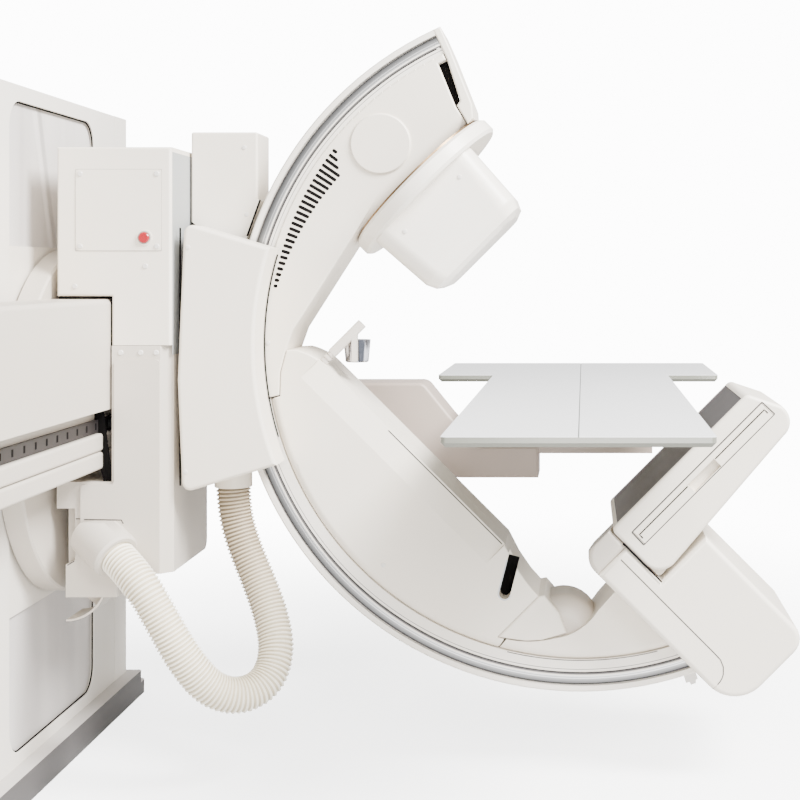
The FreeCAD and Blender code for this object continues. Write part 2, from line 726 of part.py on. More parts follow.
def drive_tower_cover():
    """Upright box over the arm's drive, hollow and open at its foot."""
    left = HOLD_LEFT - 8
    right = ISO_X - 868
    top = ISO_Z + 567
    shoe_r = 940.0
    foot_right = polar(shoe_r, 163.4)
    profile = [
        (left, top), (right, top), (right, ISO_Z + 388), polar(shoe_r, 156.0),
        polar(shoe_r, 159.5) + foot_right, (740, ISO_Z + 300), (left, ISO_Z + 328),
    ]
    body = slab(profile, -75, 75)
    body = soften(body, 6, lambda edge: lies_at(Z_AXIS, top)(edge) or (
        runs_along(Z_AXIS)(edge) and edge.BoundBox.ZMax > top - 1))
    inner = box(left + 5, right - 30, -70, 70, ISO_Z + 250, top - 5)
    return body.cut(holder_core()).cut(inner)


def pivot_flange():
    start = CAR_RIGHT - 10 + RUN_GAP
    inside_core = ISO_X - 1000
    return drum_x(start, inside_core, 0, ISO_Z, PIVOT_R).cut(holder_core())


def guide_rollers():
    """Guide rollers in the cheeks, running on the arm's tracks."""
    rollers = []
    radius = (TRACK_IN + TRACK_OUT) / 2
    face = ARM_HALF - 7 + RUN_GAP
    for angle in (166, 175, 188, 197):
        centre = polar(radius, angle)
        rollers.append(drum_y(centre, TRACK_WIDE / 2 - 1.5, -CHEEK_IN, -face))
        rollers.append(drum_y(centre, TRACK_WIDE / 2 - 1.5, face, CHEEK_IN))
    return rollers


SOCKET_Z = 752.0


def hose_socket():
    """Ring under the holder that the hose ends in."""
    x, y, hose_end = HOSE_ROUTE[-1]
    ring = Part.makeCylinder(SOCKET_R, 120, V(x, y, SOCKET_Z))
    ring = bevel(ring, 1.5, lies_at(Z_AXIS, SOCKET_Z))
    bore = Part.makeCylinder(HOSE_R + RUN_GAP, hose_end + RUN_GAP - SOCKET_Z, V(x, y, SOCKET_Z))
    cheek = slab(holder_profile(HOLD_LIP_R), -400, -CHEEK_IN - CHEEK_PLATE)
    above = Part.makeCylinder(SOCKET_R, 60, V(x, y, SOCKET_Z + 60))
    return ring.cut(bore).cut(cheek).cut(holder_core()).cut(above)


# C-shaped arm

def arm_section(angle):
    """Cross section of the arm's beam at an angle: flanges, track recesses and a box bore."""
    half = [
        (ARM_IN, ARM_HALF - 5), (ARM_IN + 17, ARM_HALF - 5), (ARM_IN + 17, ARM_HALF - 12),
        (ARM_IN + 20, ARM_HALF - 12), (ARM_IN + 20, ARM_HALF - 2), (TRACK_IN, ARM_HALF - 2),
        (TRACK_IN, ARM_HALF - 12), (ARM_OUT - TRACK_RIM, ARM_HALF - 12),
        (ARM_OUT - TRACK_RIM, ARM_HALF),
        (ARM_OUT - 4, ARM_HALF), (ARM_OUT, ARM_HALF - 4),
    ]
    ring = [(r, y) for r, y in half] + [(r, -y) for r, y in reversed(half)]

    def place(r, y):
        x, z = polar(r, angle)
        return V(x, y, z)

    points = [place(r, y) for r, y in ring]
    bore0, bore1, bore_half = ARM_IN + 8, ARM_OUT - 22, ARM_HALF - 24
    hole = [place(bore0, -bore_half), place(bore1, -bore_half), place(bore1, bore_half),
            place(bore0, bore_half)]
    outer = Part.Face(Part.makePolygon(points + points[:1]))
    return outer.cut(Part.Face(Part.makePolygon(hole + hole[:1])))


def ring_section(r0, r1, half, angle):
    """Rectangle in the radial plane at an angle."""
    corners = []
    for r, y in ((r0, -half), (r1, -half), (r1, half), (r0, half)):
        x, z = polar(r, angle)
        corners.append(V(x, y, z))
    return Part.Face(Part.makePolygon(corners + corners[:1]))


def column_side_cut():
    """Everything beyond the side of the detector column."""
    corners = [along_beam(0, COL_B0), along_beam(1500, COL_B0), along_beam(1500, 1500),
               along_beam(0, 1500)]
    return slab(corners, -400, 400)


def sweep_arc(face, start, end):
    return face.revolve(V(ISO_X, 0, ISO_Z), V(0, -1, 0), end - start)


def c_beam():
    beam = sweep_arc(arm_section(ARM_TOP_A), ARM_TOP_A, ARM_LOW_A)
    liner = sweep_arc(ring_section(CHORD_R, ARM_IN + 5, ARM_HALF - 5, LINER_A), LINER_A, ARM_LOW_A)
    return beam.fuse(liner).cut(column_side_cut()).removeSplitter()


def c_tracks():
    """Steel track in each side of the beam, with a shallow groove."""
    depth = ARM_HALF - 12
    tracks = []
    for side in (-1, 1):
        profile = [(TRACK_IN, depth), (TRACK_IN, depth + 5), (TRACK_IN + 8, depth + 5),
                   (TRACK_IN + 9, depth + 3), (TRACK_IN + 12, depth + 3),
                   (TRACK_IN + 13, depth + 5), (TRACK_OUT, depth + 5), (TRACK_OUT, depth)]
        points = []
        for r, y in profile:
            x, z = polar(r, ARM_TOP_A)
            points.append(V(x, side * y, z))
        face = Part.Face(Part.makePolygon(points + points[:1]))
        tracks.append(sweep_arc(face, ARM_TOP_A, ARM_LOW_A).cut(column_side_cut()))
    return tracks


def upper_cover_profile():
    return [
        polar(COVER_R, 115.4), polar(836, 115.4), polar(836, 117.0), polar(714, 117.8),
        along_beam(SEAT_A, 199), along_beam(SEAT_A, -243), polar(COVER_R - 89, 177.2),
        polar(COVER_R - 71, 181.1), polar(COVER_R - 52, 185.3), polar(COVER_R - 42, 189.6),
        polar(COVER_R, 189.8),
        polar(COVER_R, 152) + polar(COVER_R, 115.4),
    ]


def vent_slots():
    """Radial cooling slots that grow from a dot to full length and end in a short taper."""
    first, last = 169.2, 141.9
    wide = 7.6
    slots = []
    for index in range(VENTS):
        angle = first + (last - first) * index / (VENTS - 1)
        outer_r = COVER_R - 24 + 7 * index / (VENTS - 1)
        long = 10 + 2.1 * index
        short_end = VENTS - 1 - index
        if short_end < 3:
            long = 14 * (short_end + 1)
        inner = polar(outer_r - long + wide / 2, angle)
        outer = polar(outer_r - wide / 2, angle)
        across = math.radians(angle + 90)
        shift = V(math.cos(across) * wide / 2, 0, math.sin(across) * wide / 2)
        y = -ARM_HALF - 5
        a, b = V(outer[0], y, outer[1]), V(inner[0], y, inner[1])
        way = (b - a).normalize()
        edges = [
            Part.LineSegment(a + shift, b + shift).toShape(),
            Part.Arc(b + shift, b + way * (wide / 2), b - shift).toShape(),
            Part.LineSegment(b - shift, a - shift).toShape(),
            Part.Arc(a - shift, a - way * (wide / 2), a + shift).toShape(),
        ]
        slots.append(Part.Face(Part.Wire(edges)).extrude(V(0, 20, 0)))
    return Part.makeCompound(slots)


def centred_at(point, y, reach=40.0):
    """Chooses edges in the plane Y=y whose middle lies near a point of X and Z."""
    def pick(edge):
        middle = edge.CenterOfMass
        away = math.hypot(middle.x - point[0], middle.z - point[1])
        return lies_at(Y_AXIS, y)(edge) and away < reach
    return pick


def upper_cover():
    """Half shell with a wide round edge towards the collimator."""
    profile = upper_cover_profile()
    seat = along_beam(SEAT_A, -22)
    round_r = 40.0
    body = slab(profile, -ARM_HALF, -SEAM / 2)
    body = soften(body, round_r, centred_at(seat, -ARM_HALF))
    body = soften(body, 5, lies_at(Y_AXIS, -ARM_HALF))
    inner_front = -ARM_HALF + SHELL
    inner = inset_slab(profile, SHELL, inner_front, -SEAM / 2)
    inner = soften(inner, round_r - SHELL, centred_at(along_beam(SEAT_A - SHELL, -22), inner_front))
    return body.cut(inner)


def tube_cap(side):
    centre = along_beam(TUBE_A, 0)
    y0 = -ARM_HALF - 7
    cap = bevel(drum_y(centre, 81, y0, -ARM_HALF), 4, lies_at(Y_AXIS, y0))
    return cap if side < 0 else mirror_y(cap)


def xray_tube():
    """Tube insert in its housing: a barrel across the arm with a port towards the patient."""
    centre = along_beam(TUBE_A, 0)
    half = ARM_HALF - SHELL
    barrel = drum_y(centre, TUBE_R, -half, half)
    port = beam_drum(TUBE_A + 20, SEAT_A - SHELL, 55)
    return barrel.fuse(port).removeSplitter()


def collimator_bearing():
    ring = beam_drum(SEAT_A, FLANGE_A0 - RUN_GAP, FLANGE_R - 14)
    return ring.cut(beam_drum(SEAT_A, FLANGE_A0, 120))


def arm_end_plate():
    """Plate that closes the arm's upper end, with the cable slot beside the cover."""
    profile = [
        polar(ARM_OUT, 113.9), polar(ARM_OUT, ARM_TOP_A), polar(836, ARM_TOP_A), polar(722, 116.4),
        polar(714, 117.5), along_beam(SEAT_A, 201), along_beam(SEAT_A, 222),
        polar(700, 114.4), polar(853, 113.9),
    ]
    plate = slab(profile, -ARM_HALF, ARM_HALF)
    return soften(plate, 5, lies_at(Y_AXIS, -ARM_HALF))


def chord_profile():
    start = polar(CHORD_R - 27, 189.8)
    return [
        start, polar(CHORD_R - 37, 185.4), polar(CHORD_R - 56, 181.2), along_beam(-524, -545),
        along_beam(-490, -529) + along_beam(-431, CHORD_B), along_beam(234, CHORD_B),
        along_beam(296, -540), along_beam(349, -550), along_beam(CORNER_A, -553),
        along_beam(CORNER_A, -706.5), polar(CHORD_R - 29, 255.4), polar(CHORD_R, 254.7),
        polar(CHORD_R, 222) + polar(CHORD_R, 190.0),
    ]


def handle_slot(grow, depth):
    """Oblong recess that opens in the chord edge."""
    low = along_beam(324.6, -611.6)
    high = along_beam(262.0, -505.0)
    y = -ARM_HALF
    radius = 15.5 + grow
    a, b = V(low[0], y, low[1]), V(high[0], y, high[1])
    way = (b - a).normalize()
    side = way.cross(Y_AXIS) * radius
    edges = [
        Part.LineSegment(b + side, a + side).toShape(),
        Part.Arc(a + side, a - way * radius, a - side).toShape(),
        Part.LineSegment(a - side, b - side).toShape(),
        Part.LineSegment(b - side, b + side).toShape(),
    ]
    return Part.Face(Part.Wire(edges)).extrude(V(0, depth, 0))


def chord_bevel():
    """Wedge that slopes the front face down towards the chord edge."""
    fall = 16.0
    crease = CHORD_B - 68
    corners = []
    for b, y in ((crease, -ARM_HALF - 1), (crease, -ARM_HALF), (CHORD_B, -ARM_HALF + fall),
                 (CHORD_B + 40, -ARM_HALF + fall), (CHORD_B + 40, -ARM_HALF - 1)):
        x, z = along_beam(-464, b)
        corners.append(V(x, y, z))
    face = Part.Face(Part.makePolygon(corners + corners[:1]))
    x0, z0 = along_beam(0, 0)
    x1, z1 = along_beam(698, 0)
    return face.extrude(V(x1 - x0, 0, z1 - z0))


def chord_cover():
    profile = chord_profile()
    body = slab(profile, -ARM_HALF, -SEAM / 2)
    body = soften(body, RIM_ROUND, lambda edge: lies_at(Y_AXIS, -ARM_HALF)(edge)
                  and edge.Length > 900)
    body = soften(body, 4, lambda edge: lies_at(Y_AXIS, -ARM_HALF)(edge) and edge.Length < 900)
    inner = inset_slab(profile, SHELL, -ARM_HALF + 22, -SEAM / 2)
    return body.cut(inner)


def chord_cover_front():
    shell = chord_cover().cut(chord_bevel())
    lining = handle_slot(3, 62).common(slab(chord_profile(), -ARM_HALF + 1, 0))
    return shell.fuse(lining).cut(handle_slot(0, 58)).removeSplitter()


def corner_profile():
    return [
        along_beam(CORNER_A, -705), along_beam(CORNER_A, -553), along_beam(403, -540),
        along_beam(462, -544.5), along_beam(515, -569), polar(CHORD_R - 70, 267.0),
        polar(CHORD_R - 45, 262.5),
        polar(CHORD_R - 36.2, 259.5), polar(CHORD_R - 31.7, 255.7),
    ]


def corner_cover():
    """Separate corner between the chord cover and the detector end."""
    profile = corner_profile()
    body = slab(profile, -ARM_HALF, ARM_HALF)
    body = soften(body, 6, lies_at(Y_AXIS, -ARM_HALF))
    return body.cut(inset_slab(profile, 2 * SHELL, -ARM_HALF + 12, ARM_HALF - 12))


DOME_X = 1704.0
DOME_Z = 362.0
DOME_R = 96.0


def dome_cap():
    """Rounded cap over the cable pulley beside the corner cover."""
    half = ARM_HALF - 18
    drum = drum_y((DOME_X, DOME_Z), DOME_R, -half, half)
    drum = soften(drum, 55, lambda edge: len(edge.Vertexes) == 1)
    left = drum.cut(slab(corner_profile(), -ARM_HALF, ARM_HALF)).cut(lower_inner_block())
    return max(left.Solids, key=lambda solid: solid.Volume)


def lower_inner_block():
    """The cover between the chord cover and the column, before its edges are rounded."""
    profile = [
        polar(CHORD_R - 29.8, 255.8), polar(CHORD_R, 254.9), polar(CHORD_R, 271) + polar(CHORD_R, 287.4),
        along_beam(527, COL_B0 - SEAM), (1837, 470), (1796, 424), (1750, 377, 1682, 352),
        (1630, 344, 1564, 347.5),
    ]
    return slab(profile, -ARM_HALF, ARM_HALF)


def lower_inner_cover():
    body = lower_inner_block()
    for y in (-ARM_HALF, ARM_HALF):
        body = soften(body, RIM_ROUND, lambda edge: lies_at(Y_AXIS, y)(edge) and edge.Length > 450)
    half = ARM_HALF - 2 * RIM_ROUND
    return body.cut(sweep_arc(ring_section(800, CHORD_R - 2 * SHELL, half, 262), 262, 280))


def end_stop():
    """Buffer block on the arm's rim beside the detector column."""
    start, end = 287.2, 289.2
    profile = [polar(ARM_OUT - 5, start), polar(948, start), polar(948, end),
               polar(ARM_OUT - 5, end)]
    rim = drum_y((ISO_X, ISO_Z), ARM_OUT, -200, 0)
    block = slab(profile, -95, -55).cut(rim)
    return block.fuse(slab([polar(948, start + 0.5), polar(958, start + 0.7),
                            polar(958, end - 0.5), polar(948, end - 0.3)], -90, -60))


# Tube side

def collimator_flange():
    disc = beam_drum(FLANGE_A0, FLANGE_A1, FLANGE_R)
    return bevel(disc, 8, lambda edge: len(edge.Vertexes) == 1)


HOOD_B = -15.0         # the hood sits a little off the middle of its flange


def rounded_square(a, half, radius):
    """Closed wire across the X-ray beam."""
    x0, z0 = along_beam(a, HOOD_B)
    turn = math.radians(BEAM_ANGLE)
    across = V(-math.sin(turn), 0, math.cos(turn))
    centre = V(x0, 0, z0)
    flat = half - radius
    cut = radius * (1 - math.sqrt(0.5))
    edges = []
    for quarter in range(4):
        spin = math.radians(90 * quarter)
        one = across * math.cos(spin) + Y_AXIS * math.sin(spin)
        two = Y_AXIS * math.cos(spin) - across * math.sin(spin)
        start = centre + one * half - two * flat
        corner = centre + one * half + two * flat
        middle = centre + one * (half - cut) + two * (half - cut)
        end = centre + one * flat + two * half
        edges.append(Part.LineSegment(start, corner).toShape())
        edges.append(Part.Arc(corner, middle, end).toShape())
    return Part.Wire(edges)


def collimator_hood():
    """Rounded-square hood that tapers a little and ends in a wide soft edge."""
    base = rounded_square(FLANGE_A1, 176, 50)
    brow = rounded_square(HOOD_A1 - 38, 165, 56)
    lip = rounded_square(HOOD_A1 - 12, 153, 50)
    front = rounded_square(HOOD_A1, 126, 40)
    parts = [Part.makeLoft([base, brow], True, True), Part.makeLoft([brow, lip], True, True),
             Part.makeLoft([lip, front], True, True)]
    hood = parts[0].multiFuse(parts[1:]).removeSplitter()
    core = Part.makeLoft([rounded_square(FLANGE_A1, 166, 42),
                          rounded_square(HOOD_A1 - 60, 154, 46)], True, True)
    return hood.cut(core)


# Detector side

def box_profile(heel):
    """Side view of the detector box: slimmer at the head, with a round heel."""
    r0 = 16.0
    c0, c1 = r0 * (1 - math.sqrt(0.5)), heel * (1 - math.sqrt(0.5))
    a0, a1, b0, b1, head = FACE_A, BOX_A1, BOX_B0, BOX_B1, BOX_TOP_A1
    at = along_beam
    return [
        at(a0, b0 + r0), at(a0 + c0, b0 + c0) + at(a0 + r0, b0), at(a1 - heel, b0),
        at(a1 - c1, b0 + c1) + at(a1, b0 + heel), at(head, b1 - 50),
        at(head - 13, b1 - 15) + at(head - 50, b1), at(TRAY_A1, b1), at(a0 + 14, FACE_B1 + 2),
        at(a0 + 3, FACE_B1 - 6) + at(a0, FACE_B1 - 18),
    ]


def across_beam(a0, a1, b0, b1, y0, y1):
    """Block set square to the X-ray beam."""
    return slab([along_beam(a0, b0), along_beam(a1, b0), along_beam(a1, b1), along_beam(a0, b1)],
                y0, y1)


GRID_DEEP = 6.0
GRID_EDGE = 22.0


def detector_box():
    body = slab(box_profile(52.0), -BOX_HALF, BOX_HALF)
    body = soften(body, 10, lies_at(Y_AXIS, -BOX_HALF))
    body = soften(body, 10, lies_at(Y_AXIS, BOX_HALF))
    body = body.fuse(slab(box_profile(12.0), -BOX_CORE, BOX_CORE))
    recess = across_beam(FACE_A - 1, FACE_A + GRID_DEEP, BOX_B0 + GRID_EDGE, FACE_B1 - GRID_EDGE,
                         -BOX_HALF + 14, BOX_HALF - 14)
    bay = across_beam(TRAY_A0, TRAY_A1, TRAY_B0, TRAY_B1, -BOX_HALF - 1, -BOX_HALF + TRAY_DEEP)
    hollow = across_beam(TRAY_A1 + 8, BOX_TOP_A1 - 10, BOX_B0 + 60, BOX_B1 - 60, -BOX_HALF + 12,
                         BOX_HALF - 12)
    box_body = body.cut(recess).cut(bay).cut(hollow)
    for y in (-120, 120):
        box_body = box_body.cut(guide_post(y, 0.05, TRAY_A1 + 20))
    return box_body


def grid_face():
    return across_beam(FACE_A + 1, FACE_A + GRID_DEEP, BOX_B0 + GRID_EDGE + 0.5,
                       FACE_B1 - GRID_EDGE - 0.5, -BOX_HALF + 14.5, BOX_HALF - 14.5)


HANDLE_B0 = -57.0
HANDLE_B1 = 38.0


def cassette_tray():
    """Drawer with a finger recess in its front and a shallow bed for the cassette."""
    a0, a1 = TRAY_A0 + RUN_GAP, TRAY_A1 - RUN_GAP
    b0, b1 = TRAY_B0 + 1, TRAY_B1 - 1
    front = -BOX_HALF - 2
    lip_a = TRAY_A0 + 14
    drawer = across_beam(a0, a1, b0, b1, front, -BOX_HALF + TRAY_DEEP - 10)
    bed = across_beam(a0, a1 - 8, b0 + 10, b1 - 10, -BOX_HALF + 36, -BOX_HALF + TRAY_DEEP - 22)
    grip = across_beam(lip_a, a1 - 1, HANDLE_B0, HANDLE_B1, front, front + 24)
    groove = across_beam(lip_a - 1, lip_a, b0, b1, front, front + 2)
    return drawer.cut(bed).cut(grip).cut(groove)


def column_profile():
    """Side view of the detector column, with the shelf that the detector box stands in."""
    big, small = 95.0, 50.0
    cb, cs = big * (1 - math.sqrt(0.5)), small * (1 - math.sqrt(0.5))
    at = along_beam
    return [
        at(COL_CAP_A, COL_B0), at(COL_A1 - big, COL_B0),
        at(COL_A1 - cb, COL_B0 + cb) + at(COL_A1, COL_B0 + big), at(COL_A1, COL_B1 - small),
        at(COL_A1 - cs, COL_B1 - cs) + at(COL_A1 - small, COL_B1), at(BOX_A1 + 9, COL_B1),
        at(BOX_A1 + 9, BOX_B0 - 3), at(COL_CAP_A, BOX_B0 - 3),
    ]


def side_cover_profile(grow):
    """Side strip of the column that ends in a round corner."""
    r = 50.0
    c = r * (1 - math.sqrt(0.5))
    a0, a1 = COL_CAP_A - grow, 866.0 + grow
    b0, b1 = COL_B0 - grow * 20, COL_SEAM_B
    at = along_beam
    return [at(a0, b0), at(a1, b0), at(a1, b1 - r), at(a1 - c, b1 - c) + at(a1 - r, b1),
            at(a0, b1)]


def detector_column():
    body = slab(column_profile(), -COL_HALF, COL_HALF)
    body = soften(body, 14, lies_at(Y_AXIS, -COL_HALF))
    body = soften(body, 14, lies_at(Y_AXIS, COL_HALF))
    pocket = slab(side_cover_profile(SEAM), -COL_HALF - 1, COL_HALF + 1)
    hollow = across_beam(BOX_A1 + 25, COL_A1 - 60, COL_SEAM_B + 15, COL_B1 - 15, -COL_HALF + 15,
                         COL_HALF - 15)
    column = body.cut(pocket).cut(hollow)
    for y in (-120, 120):
        column = column.fuse(guide_post(y, 0, GUIDE_A))
    return column


GUIDE_A = 510.0
GUIDE_B = -200.0


def guide_post(y, grow, start):
    """Round guide that the detector box slides on, or its bore."""
    x, z = along_beam(start, GUIDE_B)
    turn = math.radians(BEAM_ANGLE)
    return Part.makeCylinder(14 + grow, BOX_A1 + 9 - start, V(x, y, z),
                             V(math.cos(turn), 0, math.sin(turn)))


def column_side_cover():
    whole = slab(column_profile(), -COL_HALF, COL_HALF)
    whole = soften(whole, 14, lies_at(Y_AXIS, -COL_HALF))
    whole = soften(whole, 14, lies_at(Y_AXIS, COL_HALF))
    cover = whole.common(slab(side_cover_profile(0), -COL_HALF - 1, COL_HALF + 1))
    return cover.cut(across_beam(COL_CAP_A + 30, 830, COL_B0 + 12, COL_SEAM_B + 1,
                                 -COL_HALF + 15, COL_HALF - 15))


def column_top_cap():
    """Cap of the column, whose top slopes down towards the back."""
    r = 55.0
    c = r * (1 - math.sqrt(0.5))
    at = along_beam
    profile = [at(COL_CAP_A, COL_B0), at(COL_CAP_A, BOX_B0 - 3), at(COL_A0, BOX_B0 - 3),
               at(COL_A0, COL_B0 + r), at(COL_A0 + c, COL_B0 + c) + at(COL_A0 + r, COL_B0)]
    body = slab(profile, -COL_HALF, COL_HALF)
    body = soften(soften(body, 14, lies_at(Y_AXIS, -COL_HALF)), 14, lies_at(Y_AXIS, COL_HALF))
    low, high = COL_B0 - 10, BOX_B0 + 10
    corners = []
    for a, y in ((COL_A0 + 6, -COL_HALF), (COL_A0 - 10, -COL_HALF), (COL_A0 - 10, COL_HALF),
                 (COL_CAP_A - 8, COL_HALF)):
        x, z = at(a, low)
        corners.append(V(x, y, z))
    wedge = Part.Face(Part.makePolygon(corners + corners[:1]))
    x0, z0 = at(0, low)
    x1, z1 = at(0, high)
    return body.cut(wedge.extrude(V(x1 - x0, 0, z1 - z0)))


# Compression device

PRESS_A = -452.0
PRESS_Y = -90.0
CUP_X = 1146.0
CUP_Y = -40.0
CUP_FOOT = 1081.0
CUP_HIGH = 61.0
CUP_R = 36.5


def compression_arm():
    """Short arm on a ribbed shaft that stands on the chord edge, with a strap down to the cup."""
    turn = math.radians(BEAM_ANGLE)
    up = V(-math.sin(turn), 0, math.cos(turn))

    def at(b):
        x, z = along_beam(PRESS_A, b)
        return V(x, PRESS_Y, z)

    foot = CHORD_B + RUN_GAP
    shaft = Part.makeCylinder(8, 40, at(foot), up)
    for step in (0, 13, 25):
        shaft = shaft.fuse(Part.makeCylinder(11.5, 8, at(foot + step), up))
    bar = Part.makeBox(26, 24, 112, V(-13, -12, 0))
    bar = soften(bar, 8, runs_along(Z_AXIS))
    bar.rotate(V(0, 0, 0), Y_AXIS, 90 + BEAM_ANGLE)
    bar.translate(at(foot + 32))
    strap = box(CUP_X - 6, CUP_X + 8, PRESS_Y - 10, CUP_Y - CUP_R, CUP_FOOT + 5, 1160)
    pin = drum_y((CUP_X, CUP_FOOT + 34), 6, CUP_Y - CUP_R, CUP_Y)
    arm = shaft.multiFuse([bar, strap, pin]).cut(compression_cup())
    return max(arm.removeSplitter().Solids, key=lambda solid: solid.Volume)


def compression_cup():
    foot = 5.0
    cone = Part.makeCone(31.5, CUP_R, CUP_HIGH - foot, V(CUP_X, CUP_Y, CUP_FOOT + foot), Z_AXIS)
    face = bevel(Part.makeCylinder(31.5, foot, V(CUP_X, CUP_Y, CUP_FOOT)), 3,
                 lies_at(Z_AXIS, CUP_FOOT))
    return cone.fuse(face).removeSplitter()


# Hose

def cable_hose():
    """Corrugated hose as a plain tube of straight runs and tangent arcs."""
    points = [V(*point) for point in HOSE_ROUTE]
    edges = []
    here = points[0]
    radii = []
    for before, corner, after in zip(points, points[1:], points[2:]):
        back, on = before - corner, after - corner
        short = min(back.Length, on.Length)
        turn = math.pi - back.getAngle(on)
        radius = 0.45 * short / math.tan(turn / 2)
        start = corner + back.normalize() * (0.45 * short)
        end = corner + on.normalize() * (0.45 * short)
        inward = (back + on).normalize()
        middle = corner + inward * (radius / math.cos(turn / 2) - radius)
        edges.append(Part.LineSegment(here, start).toShape())
        edges.append(Part.Arc(start, middle, end).toShape())
        here = end
        radii.append(round(radius))
    edges.append(Part.LineSegment(here, points[-1]).toShape())
    path = Part.Wire(edges)
    way = (points[1] - points[0]).normalize()
    ring = Part.Wire(Part.makeCircle(HOSE_R, points[0], way))
    tube = path.makePipeShell([ring], True, False)
    section = math.pi * HOSE_R ** 2
    print("hose radii", radii, "length", round(path.Length),
          "volume over section times length", round(tube.Volume / section / path.Length, 4))
    return tube


def build():
    save("base_plate", base_plate())
    save("stand_housing", stand_housing())
    save("stand_front_panel", stand_front_panel())
    save("upper_blind", blind(SADDLE_Z1 - 30, WINDOW_Z1 + 12))
    save("lower_blind", blind(WINDOW_Z0 - 12, SADDLE_Z0 + 30))
    save("upright_frame", upright_frame())
    save("lift_guide_rails", *lift_guide_rails())
    save("lift_drive", *lift_drive())
    save("counterweight", counterweight())
    save("lift_saddle", lift_saddle())
    save("tilt_bearing", tilt_bearing())

    save("tilt_disc", tilt_disc())
    save("longitudinal_beam", longitudinal_beam())
    save("beam_cover", beam_cover())
    save("drive_rack", drive_rack())
    save("beam_rails", *beam_rails())
    save("table_arm", *table_arm())
    save("cross_slide", cross_slide())
    save("table_top", table_top())

    save("carriage_frame", carriage_frame())
    save("carriage_upper_cover", carriage_upper_cover())
    save("access_panel", access_panel())
    save("stop_button", stop_button())
    save("carriage_lower_cover", carriage_lower_cover())
    save("carriage_rollers", *carriage_rollers())
    save("hose_collar", hose_collar())
    save("lower_guard", lower_guard())
    save("cover_screws", *cover_screws())
    save("cable_hose", cable_hose())

    save("holder_core", holder_core())
    front = holder_front_cover()
    save("holder_front_cover", front)
    save("holder_rear_cover", mirror_y(front))
    save("drive_tower_cover", drive_tower_cover())
    save("pivot_flange", pivot_flange())
    save("guide_rollers", *guide_rollers())
    save("hose_socket", hose_socket())

    save("c_beam", c_beam())
    save("c_tracks", *c_tracks())
    half = upper_cover()
    save("upper_cover_front", half.cut(vent_slots()))
    save("upper_cover_rear", mirror_y(half))
    save("tube_caps", tube_cap(-1), tube_cap(1))
    save("xray_tube", xray_tube())
    save("collimator_bearing", collimator_bearing())
    save("arm_end_plate", arm_end_plate())
    save("chord_cover_front", chord_cover_front())
    save("chord_cover_rear", mirror_y(chord_cover()))
    save("corner_cover", corner_cover())
    save("dome_cap", dome_cap())
    save("lower_inner_cover", lower_inner_cover())
    save("end_stop", end_stop())
    save("detector_column", detector_column())
    save("column_side_cover", column_side_cover())
    save("column_top_cap", column_top_cap())
    save("collimator_flange", collimator_flange())
    save("collimator_hood", collimator_hood())
    save("detector_box", detector_box())
    save("grid_face", grid_face())
    save("cassette_tray", cassette_tray())
    save("compression_arm", compression_arm())
    save("compression_cup", compression_cup())


build()
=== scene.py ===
# %% [markdown]
# A floor-standing X-ray system with a C-shaped arm. A stand on the left lifts and tilts a long
# beam; a carriage runs on the beam and holds the arm, which carries the tube housing at its upper
# end and the flat detector at its lower end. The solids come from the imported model, so this
# lesson adds what solids alone lack: soft edges, finishes, ribs, seams and light.

import json
import math

import bmesh
import bpy
from mathutils import Matrix, Vector
from mathutils.bvhtree import BVHTree


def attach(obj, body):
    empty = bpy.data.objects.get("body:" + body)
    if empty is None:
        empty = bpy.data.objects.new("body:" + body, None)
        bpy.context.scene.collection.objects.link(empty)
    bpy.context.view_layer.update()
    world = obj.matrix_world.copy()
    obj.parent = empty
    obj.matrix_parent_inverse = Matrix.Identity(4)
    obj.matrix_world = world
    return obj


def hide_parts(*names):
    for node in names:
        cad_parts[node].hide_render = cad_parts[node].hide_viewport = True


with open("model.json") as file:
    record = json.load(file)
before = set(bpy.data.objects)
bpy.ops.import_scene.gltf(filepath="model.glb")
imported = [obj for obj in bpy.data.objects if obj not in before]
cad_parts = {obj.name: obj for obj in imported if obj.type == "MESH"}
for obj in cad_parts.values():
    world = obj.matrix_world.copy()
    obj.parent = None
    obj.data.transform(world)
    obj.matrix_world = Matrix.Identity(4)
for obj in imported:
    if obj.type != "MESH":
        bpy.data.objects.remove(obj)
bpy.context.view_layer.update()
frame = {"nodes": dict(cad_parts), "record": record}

# %% [markdown]
# The arm's geometry is easiest to describe from the isocentre, the point where its axes cross.
# Two helpers turn polar positions, and positions along and across the X-ray beam, into X and Z.

# %% The isocentre and its two ways of pointing
ISO = Vector((1.752, 0.0, 1.133))
ALONG = Vector((math.sqrt(0.5), 0, -math.sqrt(0.5)))
ACROSS = Vector((math.sqrt(0.5), 0, math.sqrt(0.5)))


def polar(radius, degrees, y=0.0):
    turn = math.radians(degrees)
    return ISO + Vector((radius * math.cos(turn), y, radius * math.sin(turn)))


def in_beam(a, b):
    return ISO + ALONG * a + ACROSS * b


print("isocentre", tuple(round(v, 3) for v in ISO))

# %% [markdown]
# Finishes are node trees. Written node by node they are long, so one small class wraps a socket:
# plus, minus and times on it add Math nodes, and one method makes any other node. Everything
# else below reads like plain arithmetic.

# %% Arithmetic on shader sockets


